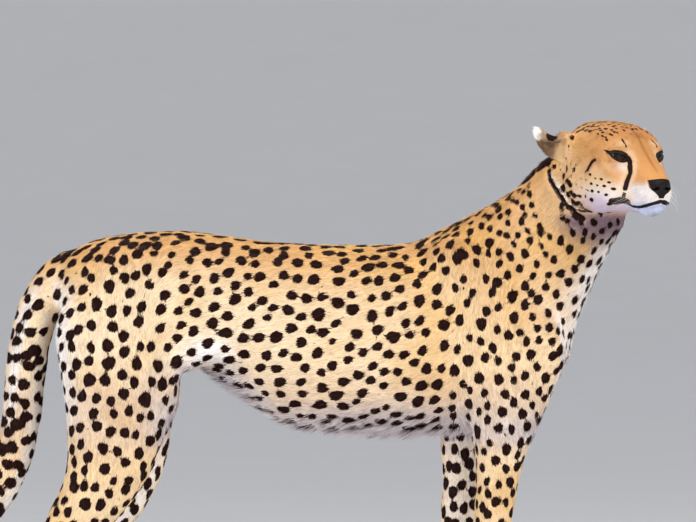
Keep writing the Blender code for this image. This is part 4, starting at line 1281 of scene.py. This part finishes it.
def make_spots(points, normals, corners):
    """Spots spread over the skin, with small dots between some of them."""
    area = areas_of(points, corners)
    picked, weights = pick_places(area, CROWD)
    points = (points[corners[picked]] * weights).sum(axis=1)
    normals = unit((normals[corners[picked]] * weights).sum(axis=1))
    coat, place = coat_at(points, normals)
    allowed = np.flatnonzero(spots_allowed(points, coat, place))
    share = area.sum() / CROWD
    main = allowed[scatter(points[allowed], normals[allowed], coat["gap"][allowed], share)]
    deviation, least, most = SPOT_SPREAD
    size = rng.normal(1.0, deviation, len(main)).clip(least, most)
    turn = rng.normal(0, SPOT_TURN, len(main))[:, None]
    ways, up = coat["oval"][main], normals[main]
    ways = unit(ways * np.cos(turn) + np.cross(up, ways) * np.sin(turn))
    inner = place["inner"][main]
    foreleg = inner * step(points[main, 0], 0.2, 0.3)
    top = step(normals[main, 2], 0.2, 0.8)
    size *= SPOT_SIZE + 0.12 * top + 0.15 * inner + 0.25 * foreleg
    long = coat["spot_long"][main] * size
    wide = coat["spot_wide"][main] * size * rng.uniform(*SPOT_WIDTHS, len(main))
    found = Spots(points[main], up, ways, long, np.minimum(wide, long))
    free = rng.choice(allowed, SMALL_TRIES, replace=False)
    free = free[(coat["skull"][free] < 0.3) & (found.distance(points[free]) > SMALL_CLEAR)]
    small = []
    for i in free:
        if all(np.linalg.norm(points[i] - points[j]) > SMALL_APART for j in small):
            small.append(i)
    small = np.array(small)[rng.random(len(small)) < SMALL_PART]
    print("spots", len(main), len(small))
    long = np.append(long, rng.uniform(*DOT_SIZES, len(small)))
    wide = np.append(wide, long[len(main):] * rng.uniform(*DOT_WIDTHS, len(small)))
    picked = np.append(main, small)
    ways = np.concatenate([ways, coat["lie"][small]])
    return Spots(points[picked], normals[picked], ways, long, np.minimum(wide, long))


# ---- Fur
TUFTS = 330000
COATS = 8                   # pieces that the tufts are dealt to
HEAD_SHARE = 2.1            # how much denser than its hair's size asks the fur of the head is
ABOVE_FLOOR = 0.0002        # the least height of a corner of a tuft
PATCH = 0.0030              # a tuft's patch on the map
SUNK = 0.0004               # how deep a tuft's root is in the skin
RIDGE = 0.42                # height of its ridge as a part of its width
SIDE_LIGHT = 0.55           # how far its sides are lit apart
COLOUR_AT = 0.3             # the part of its length whose place gives its root the mark
LONG_TUFT = 0.020           # a longer tuft has one mark to its tip
SWIRL, STRAY_LIE = 0.11, 0.06       # how far the lie wanders from place to place, and tuft to tuft
STRAY_MARK = 0.0004         # deviation of where along its lie a tuft takes its mark
DROOP = {"under": 0.40, "seat": 0.15}       # how far the hair hangs there
# Lift, length and width of a tuft as parts of the coat's: the least, and how much more at most.
TUFT_LIFT, TUFT_LENGTH, TUFT_WIDTH = (0.5, 1.0), (0.65, 0.6), (0.75, 0.5)


def bare_at(points, normals):
    """1 where no hair grows: the nose, the lids' edges, the lips and the soles."""
    local = halved(points)
    bare = 1 - step(nose_gap(local), -0.0004, 0.0002)
    for side in (-1, 1):
        bare = np.maximum(bare, 1 - step(eye_gap(in_eye(points, side)), 0.0014, 0.0022))
    bare = np.maximum(bare, 1 - step(to_mouth(local), 0.0016, 0.0022))
    sole = step(-normals[:, 2], 0.45, 0.7) * (points[:, 2] < NO_HAIR_UNDER)
    return np.maximum(bare, sole)


def sample_roots(points, normals, corners, uv, coat):
    """Random roots on the skin, closer where the hair is small, with their places on the map."""
    small = 1 / (coat["length"] * coat["width"])[corners].mean(axis=1)
    head = 1 + (HEAD_SHARE - 1) * coat["skull"][corners].mean(axis=1)
    share = areas_of(points, corners) * small / np.where(head > 1.5, 2.2 / head, 1)
    picked, weights = pick_places(share, TUFTS)
    roots = (points[corners[picked]] * weights).sum(axis=1)
    facing = unit((normals[corners[picked]] * weights).sum(axis=1))
    return roots, facing, (uv[picked] * weights).sum(axis=1)


def make_tufts(roots, facing, uv, spots):
    """Corners, normals, map places and marks of three-sided tufts: a base of three and a tip."""
    coat, place = coat_at(roots, facing)
    count = len(roots)
    chance = rng.random((count, 4))
    swirl = np.stack([lattice(roots, 0.012, 11 + k) for k in range(3)], axis=1)
    lie = unit(coat["lie"] + swirl * SWIRL + rng.normal(0, STRAY_LIE, (count, 3)))
    lie = flatten(lie, facing)

    def drawn(name, k, least, more):
        return (coat[name] * (least + more * chance[:, k]))[:, None]

    lift = np.radians(drawn("lift", 0, *TUFT_LIFT))
    length, width = drawn("length", 1, *TUFT_LENGTH), drawn("width", 2, *TUFT_WIDTH)
    way = lie * np.cos(lift) + facing * np.sin(lift)
    droop = sum(place[name] * share for name, share in DROOP.items())
    way = unit(way - UP * droop[:, None])
    across = unit(np.cross(facing, way))
    base = roots - facing * SUNK
    left, right = base - across * width / 2, base + across * width / 2
    ridge = base + np.cross(way, across) * width * RIDGE
    tip = base + way * length
    corners = np.stack([left, right, ridge, tip], axis=1)
    corners[..., 2] = np.maximum(corners[..., 2], ABOVE_FLOOR)
    aside = across * SIDE_LIGHT
    lit = unit(np.stack([facing - aside, facing + aside, facing, facing + lie * 0.25], axis=1))
    patch = np.array(((-0.5, -0.5), (0.5, -0.5), (0.0, -0.25), (0.0, 0.5))) * PATCH
    reached = tip - facing * (np.einsum("ij,ij->i", tip - roots, facing))[:, None]
    stray = lie * (rng.normal(0, STRAY_MARK, count))[:, None]
    dark_root = dark_at(roots + (reached - roots) * COLOUR_AT + stray, facing, spots)
    dark_tip = dark_at(reached + stray, facing, spots)
    dark_tip = np.where(length[:, 0] < LONG_TUFT, dark_tip, dark_root)
    return {
        "corners": corners,
        "lit": lit,
        "uv": uv[:, None, :] + patch,
        "tint": coat_colour(roots, facing, coat, place),
        "dark": np.stack([dark_root, dark_root, dark_root, dark_tip], axis=1),
        "chance": chance[:, 3],
    }


TUFT_FACES = np.array(((0, 2, 1), (1, 2, 3), (3, 2, 0), (0, 1, 3)))


def mesh_from(name, points, triangles):
    mesh = bpy.data.meshes.new(name)
    mesh.vertices.add(len(points))
    mesh.vertices.foreach_set("co", points.astype(np.float32).ravel())
    mesh.loops.add(triangles.size)
    mesh.loops.foreach_set("vertex_index", triangles.astype(np.int32).ravel())
    mesh.polygons.add(len(triangles))
    mesh.polygons.foreach_set("loop_start", np.arange(len(triangles), dtype=np.int32) * 3)
    mesh.update(calc_edges=True)
    return mesh


def put_values(mesh, name, values):
    """Carries a number or a colour at each corner of a mesh."""
    if values.ndim == 2:
        made = mesh.attributes.new(name, "FLOAT_COLOR", "POINT")
        made.data.foreach_set("color", np.c_[values, np.ones(len(values))].astype(np.float32).ravel())
    else:
        made = mesh.attributes.new(name, "FLOAT", "POINT")
        made.data.foreach_set("value", values.astype(np.float32))


def build_coat(number, tufts, rows, material):
    """One piece of fur from every COATS-th tuft."""
    count = len(rows)
    faces = (TUFT_FACES[None] + np.arange(count)[:, None, None] * 4).reshape(-1, 3)
    name = f"coat_{number}"
    mesh = mesh_from(name, tufts["corners"][rows].reshape(-1, 3), faces)
    uv = tufts["uv"][rows].reshape(-1, 2)[faces.ravel()]
    mesh.uv_layers.new(name="OFBake").data.foreach_set("uv", uv.astype(np.float32).ravel())
    put_values(mesh, "tint", np.repeat(tufts["tint"][rows], 4, axis=0))
    put_values(mesh, "dark", tufts["dark"][rows].ravel() * 1000)
    put_values(mesh, "chance", np.repeat(tufts["chance"][rows], 4))
    put_values(mesh, "along", np.tile((0.0, 0.0, 0.0, 1.0), count))
    mesh.shade_smooth()
    mesh.normals_split_custom_set_from_vertices(tufts["lit"][rows].reshape(-1, 3))
    mesh.materials.append(material)
    return add_object(name, mesh)


# ---- Materials
class Graph:
    """A material under construction."""

    def __init__(self, name, roughness, specular=0.5):
        self.material = bpy.data.materials.new(name)
        self.material.use_nodes = True
        self.tree = self.material.node_tree
        self.shader = self.tree.nodes["Principled BSDF"]
        self.shader.inputs["Roughness"].default_value = roughness
        self.shader.inputs["Specular IOR Level"].default_value = specular

    def add(self, kind, settings=(), **inputs):
        """A node, with its inputs by name, or by number after an underscore."""
        node = self.tree.nodes.new(kind)
        for key, value in dict(settings).items():
            setattr(node, key, value)
        for key, value in inputs.items():
            socket = node.inputs[int(key[1:])] if key[0] == "_" else node.inputs[key.replace("_", " ")]
            self.feed(socket, value)
        return node

    def feed(self, socket, value):
        if hasattr(value, "is_linked"):
            self.tree.links.new(value, socket)
        else:
            socket.default_value = value

    def value(self, name):
        return self.add("ShaderNodeAttribute", {"attribute_name": name}).outputs["Fac"]

    def colour(self, name):
        return self.add("ShaderNodeAttribute", {"attribute_name": name}).outputs["Color"]

    def math(self, operation, a, b=0.0):
        return self.add("ShaderNodeMath", {"operation": operation}, _0=a, _1=b).outputs[0]

    def ramp(self, value, low, high, start, end):
        ends = {"_1": low, "_2": high, "_3": start, "_4": end}
        smooth = {"interpolation_type": "SMOOTHSTEP"}
        return self.add("ShaderNodeMapRange", smooth, _0=value, **ends).outputs[0]

    def mix(self, share, a, b, kind="MIX"):
        settings = {"data_type": "RGBA", "blend_type": kind}
        return self.add("ShaderNodeMix", settings, _0=share, _6=a, _7=b).outputs[2]

    def dim(self, colour, light):
        """A colour times an amount of light."""
        grey = self.add("ShaderNodeCombineColor", (), Red=light, Green=light, Blue=light)
        return self.mix(1.0, colour, grey.outputs[0], "MULTIPLY")

    def noise(self, scale, detail=2.0, roughness=0.5):
        place = self.add("ShaderNodeTexCoord").outputs["Object"]
        sizes = {"Scale": scale, "Detail": detail, "Roughness": roughness}
        return self.add("ShaderNodeTexNoise", (), Vector=place, **sizes).outputs["Fac"]

    def bump(self, height, distance, strength):
        made = self.add("ShaderNodeBump", (), Height=height, Distance=distance, Strength=strength)
        self.feed(self.shader.inputs["Normal"], made.outputs[0])

    def base(self, colour):
        self.feed(self.shader.inputs["Base Color"], colour)


def rgba(colour):
    """A colour as a shader's input takes it."""
    return (*[float(part) for part in colour], 1.0)


SPOT_EDGE = 0.45            # millimetres over which a spot fades into the coat
EDGE_GRAIN, EDGE_WANDER = 700, 1.1      # fineness of its ragged edge, and how far it wanders


def coat_paint(graph, tint):
    """The tint of the coat under its dark markings."""
    wander = graph.math("SUBTRACT", graph.noise(EDGE_GRAIN), 0.5)
    wander = graph.math("MULTIPLY", wander, EDGE_WANDER)
    edge = graph.math("ADD", graph.value("dark"), wander)
    share = graph.ramp(edge, -SPOT_EDGE, SPOT_EDGE, 1.0, 0.0)
    return graph.mix(share, tint, rgba(DARK))


def fur_material():
    """The tufts: lighter and darker ones, each a little darker at its root, painted shade deep in the coat.
    """
    graph = Graph("fur", 0.78, 0.06)
    tint = graph.dim(graph.colour("tint"), graph.ramp(graph.value("chance"), 0.0, 1.0, 0.80, 1.10))
    # Painted shade: each tuft darker towards its root, deep in the coat.
    depth = graph.ramp(graph.value("along"), 0.0, 0.8, 0.80, 1.05)
    graph.base(graph.dim(coat_paint(graph, tint), depth))
    return graph.material


def skin_material():
    """The coat's colours where hair grows, and dark leather where it doesn't."""
    graph = Graph("skin", 0.72, 0.14)
    bare = graph.value("bare")
    grain = graph.ramp(graph.noise(900, 3.0), 0.35, 0.7, 0.0, 1.0)
    leather = graph.mix(grain, rgba(LEATHER * 0.4), rgba(LEATHER * 1.1))
    graph.base(graph.mix(bare, coat_paint(graph, graph.colour("tint")), leather))
    graph.feed(graph.shader.inputs["Roughness"], graph.ramp(bare, 0.0, 1.0, 0.65, 0.48))
    graph.bump(graph.noise(1100, 3.0, 0.6), 0.0006, 0.5)
    return graph.material


def plain_material(name, colour, roughness, specular=0.5):
    """One colour with a fine grain."""
    graph = Graph(name, roughness, specular)
    share = graph.ramp(graph.noise(600, 3.0), 0.3, 0.7, 0.0, 1.0)
    graph.base(graph.mix(share, rgba(colour * 0.75), rgba(colour * 1.2)))
    graph.bump(graph.noise(600, 3.0), 0.0002, 0.4)
    return graph.material


IRIS_RADIUS = 0.0098
PUPIL_RADIUS = 0.0046
IRIS_INNER = shade((58, 27, 14))
IRIS_OUTER = shade((30, 14, 8))
EYE_WHITE = shade((22, 14, 10))
PUPIL = (0.004, 0.003, 0.003)
IRIS_RIM = (0.010, 0.006, 0.005)


def eye_material():
    """Iris, pupil, dark rim and white, by the distance from the pole in millimetres."""
    graph = Graph("eye", 0.16, 0.14)
    graph.shader.inputs["Coat Weight"].default_value = 0.05
    graph.shader.inputs["Coat Roughness"].default_value = 0.02
    out = graph.value("out")
    iris, pupil = IRIS_RADIUS * 1000, PUPIL_RADIUS * 1000
    colour = graph.mix(graph.ramp(out, pupil, iris, 0.0, 1.0), rgba(IRIS_INNER), rgba(IRIS_OUTER))
    fibres = graph.ramp(graph.value("fibre"), 0.0, 1.0, 0.0, 0.55)
    for share, over in (
        (fibres, IRIS_OUTER * 0.5),
        (graph.ramp(out, pupil - 0.2, pupil + 0.2, 1.0, 0.0), PUPIL),
        (graph.ramp(out, iris - 1.4, iris, 0.0, 0.85), IRIS_RIM),
        (graph.ramp(out, iris, iris + 0.8, 0.0, 1.0), EYE_WHITE),
    ):
        colour = graph.mix(share, colour, rgba(over))
    graph.base(colour)
    return graph.material


# ---- Small pieces
GAZE_TURN = math.radians(8)     # how far an eye looks outwards of the way the head faces
CORNEA = 0.0013             # how far the cornea bulges
UNDER_LIDS = 0.0004         # how much smaller the eyeball is than the lids' inside


def build_eye(word, material):
    """An eyeball with a raised cornea, its pole where it looks."""
    side = SIDES[word]
    centre, _ = eye_axes(side)
    look = np.array((math.cos(GAZE_TURN), math.sin(GAZE_TURN) * side, 0))
    turns = turns_of(96)
    angles = np.concatenate([[0.02], np.linspace(0.06, 0.75, 26), np.linspace(0.80, 3.12, 26)])
    left = unit(np.cross(UP, look))
    up = np.cross(look, left)
    out = angles * EYE_RADIUS
    bulge = CORNEA * (1 - (np.clip(out / IRIS_RADIUS, 0, 1)) ** 2)
    radius = EYE_RADIUS - UNDER_LIDS + bulge
    ring = np.outer(np.cos(turns), left) + np.outer(np.sin(turns), up)
    points = look[None, None] * (np.cos(angles) * radius)[:, None, None]
    points = points + ring[None] * (np.sin(angles) * radius)[:, None, None]
    made = new_object(f"eyeball_{word}", lambda bm: add_loft(bm, from_head(points + centre)))
    mesh = made.data
    put_values(mesh, "out", np.repeat(out, len(turns)) * 1000)
    rays = np.random.default_rng(3 + side).random(len(turns))
    put_values(mesh, "fibre", np.tile((rays + np.roll(rays, 1)) / 2, len(angles)))
    mesh.shade_smooth()
    mesh.materials.append(material)
    return made


def add_tube(bm, path, radii, sides=8):
    """A round closed tube along a path of points."""
    path = np.array(path, float)
    ways = unit(np.gradient(path, axis=0))
    across = unit(np.cross(ways, UP + 0.01))
    above = np.cross(ways, across)
    turns = turns_of(sides)[:, None]
    rings = []
    for point, a, b, radius in zip(path, across, above, radii):
        rings.append(point + (a * np.cos(turns) + b * np.sin(turns)) * radius)
    add_loft(bm, rings)


LID_RIM = 0.00085           # half thickness of the lids' dark edge
LID_RIM_OUT = 0.0006        # how far its middle is outside the eyeball


def build_lid_rims(bm):
    """The dark edges of the lids, along the opening on each eyeball."""
    for side in (-1, 1):
        centre, turn = eye_axes(side)
        along = np.cos(np.linspace(math.pi, 0, 40))
        upper, lower = lid_curves(along)
        for heights, thick in ((upper, 1.15), (lower, 0.9)):
            reach = EYE_RADIUS + LID_RIM_OUT
            x1, x2 = along * LID_HALF, heights
            x0 = np.sqrt(np.maximum(reach**2 - x1**2 - x2**2, 1e-6))
            path = from_head(np.stack([x0, x1, x2], axis=1) @ turn.T + centre)
            add_tube(bm, path, LID_RIM * thick * (1 + 0.25 * (1 - along) / 2))


WHISKER_RADIUS = 0.00019
WHISKER_LENGTH = (0.030, 0.018)     # the least, and how much more at most
WHISKER_ROOT = 0.002        # how deep it is in the skin
WHISKER_BEND = np.array((-0.35, 0, -0.30))


def build_whiskers(bm):
    """Fine whiskers out of the pads, bent back and down."""
    for k, root in enumerate(whisker_roots()):
        for side in (-1, 1):
            chance = np.random.default_rng(100 + k * 2 + side).random(3)
            reach = WHISKER_LENGTH[0] + WHISKER_LENGTH[1] * chance[0]
            start = root * (1, side, 1)
            way = unit(np.array((-0.35 + 0.2 * chance[1], side * (0.85 + 0.2 * chance[2]), -0.22)))
            run = np.linspace(0, 1, 9)[:, None]
            path = start - way * WHISKER_ROOT + way * reach * run
            path = path + WHISKER_BEND * reach * run**2
            add_tube(bm, from_head(path), WHISKER_RADIUS * (1.05 - run[:, 0]), sides=4)


CLAW = (0.0145, 0.0030)     # length and half thickness at its root
CLAW_WAY = np.array((0.86, 0, -0.20))
CLAW_DROP = 0.42            # how far its point bends down, as a part of its length
# Across and forward, as parts of the paw's width and length.
TOE_PLACES = ((-0.3525, 0.68), (-0.1175, 0.77), (0.1175, 0.77), (0.3525, 0.68))


def build_claws(bm):
    """A curved claw on each toe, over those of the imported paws."""
    reach, thick = CLAW
    for leg, (length, width, height) in PAW_SIZES.items():
        for word in SIDES:
            low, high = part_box(f"{leg}_{word}_paw")
            front = high[0] - 0.98 * length - 0.0048
            for across, forward in TOE_PLACES:
                middle = (low[1] + high[1]) / 2 + across * width
                start = np.array((front + (forward + 0.165) * length, middle, 0.42 * height))
                bend = np.linspace(0, 1, 9)[:, None]
                path = start + CLAW_WAY * reach * bend - UP * CLAW_DROP * reach * bend**2
                add_tube(bm, path, thick * (1 - bend[:, 0]) ** 0.7 + 0.0003)


def add_piece(name, build, material):
    """A piece of the visual model that adds to the CAD and replaces none of it."""
    made = new_object(name, build)
    made.data.materials.append(material)
    made.data.shade_smooth()
    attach(made, "root")
    return made


# ---- Camera, lights, floor
VIEW_WIDTH = 1.079          # width seen at the animal's middle plane
VIEW_LEVEL = 0.722          # height of the picture's middle there
HEAD_RIGHT_OF_MIDDLE = 0.4475
VIEW_ELEVATION = math.radians(1.0)      # how far the camera looks down
DISTANCE = 12.0
SENSOR = 36.0               # millimetres
AIM = Vector((0, 0, 0.55))  # where the lights point


def build_camera():
    data = bpy.data.cameras.new("camera")
    data.sensor_width = SENSOR
    data.lens = SENSOR * DISTANCE / VIEW_WIDTH
    data.clip_end = 200
    made = add_object("camera", data)
    target = Vector((HEAD_AT[0] - HEAD_RIGHT_OF_MIDDLE, MIDLINE, VIEW_LEVEL))
    back = Vector((0, -math.cos(VIEW_ELEVATION), math.sin(VIEW_ELEVATION)))
    made.location = target + back * DISTANCE
    made.rotation_euler = (-back).to_track_quat("-Z", "Y").to_euler()
    bpy.context.scene.camera = made


# Place, diameter, power and colour.
LIGHTS = {
    "key": ((4.2, -4.2, 4.2), 2.2, 348, (1.0, 0.965, 0.92)),
    "fill": ((-4.6, -3.6, 1.6), 3.5, 225, (0.93, 0.955, 1.0)),
    "top": ((-0.4, 0.6, 4.6), 3.0, 110, (1.0, 0.98, 0.95)),
    "back": ((-1.5, 4.5, 3.0), 3.0, 150, (0.97, 0.98, 1.0)),
}
SKY, SKY_STRENGTH = (0.86, 0.90, 1.0, 1), 0.60
FLOOR_COLOURS = (0.84, 0.82, 0.79), (0.87, 0.85, 0.82)


def build_lights():
    for name, (place, size, power, colour) in LIGHTS.items():
        data = bpy.data.lights.new(name, "AREA")
        data.shape = "DISK"
        data.size = size
        data.energy = power
        data.color = colour
        made = add_object(name, data)
        made.location = place
        made.rotation_euler = (AIM - Vector(place)).to_track_quat("-Z", "Y").to_euler()
        made.visible_camera = False
    world = bpy.data.worlds.new("studio")
    world.use_nodes = True
    sky = world.node_tree.nodes["Background"]
    sky.inputs["Color"].default_value = SKY
    sky.inputs["Strength"].default_value = SKY_STRENGTH
    bpy.context.scene.world = world
    bpy.context.scene.view_settings.view_transform = "Standard"


# Radius and height of the floor's rings.
BOWL = ((0, 0), (16, 0), (24, 0.5), (31, 3), (35, 8), (36, 16))


def build_floor():
    """A round floor that rises far out like a studio's backdrop."""
    rings = refine(BOWL, 6)[1:]
    turns = turns_of(96)

    def build(bm):
        middle = bm.verts.new((0, 0, 0))
        made = [[bm.verts.new((r * math.cos(t), r * math.sin(t), z)) for t in turns] for r, z in rings]
        for start, end in zip(made[0], made[0][1:] + made[0][:1]):
            bm.faces.new((middle, start, end))
        join_rings(bm, made)

    floor = new_object("floor", build)
    graph = Graph("floor", 0.9, 0.2)
    graph.base(graph.mix(graph.noise(3.0), *map(rgba, FLOOR_COLOURS)))
    floor.data.materials.append(graph.material)
    floor.data.shade_smooth()


# ---- Everything
def main():
    skin = make_skin()
    mesh = skin.data
    points, normals, corners = corners_of(mesh), normals_of(mesh), triangles_of(mesh)
    uv = unwrap(skin)
    coat, place = coat_at(points, normals)
    spots = make_spots(points, normals, corners)
    put_values(mesh, "tint", coat_colour(points, normals, coat, place))
    put_values(mesh, "dark", dark_at(points, normals, spots) * 1000)
    put_values(mesh, "bare", bare_at(points, normals))
    mesh.materials.append(skin_material())
    print("skin triangles", len(corners))
    roots, facing, where = sample_roots(points, normals, corners, uv, coat)
    keep = bare_at(roots, facing) < 0.5
    tufts = make_tufts(roots[keep], facing[keep], where[keep], spots)
    print("tufts", len(tufts["tint"]))
    fur = fur_material()
    for number in range(1, COATS + 1):
        made = build_coat(number, tufts, np.arange(number - 1, len(tufts["tint"]), COATS), fur)
        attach(made, "root")
    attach(skin, "root")
    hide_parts(*[node for node in frame["nodes"] if not node.startswith("eye")])
    wet = eye_material()
    for word in SIDES:
        eye = build_eye(word, wet)
        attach(eye, "root")
        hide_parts(f"eye_{word}")
    rim = plain_material("lid_edge", LEATHER * 0.5, 0.50, specular=0.25)
    add_piece("lid_rims", build_lid_rims, rim)
    hair = plain_material("whisker", shade((235, 230, 225)), 0.4)
    add_piece("whiskers", build_whiskers, hair)
    horn = plain_material("claw", shade((58, 46, 40)), 0.35)
    add_piece("claws", build_claws, horn)
    build_floor()
    build_lights()
    build_camera()


main()
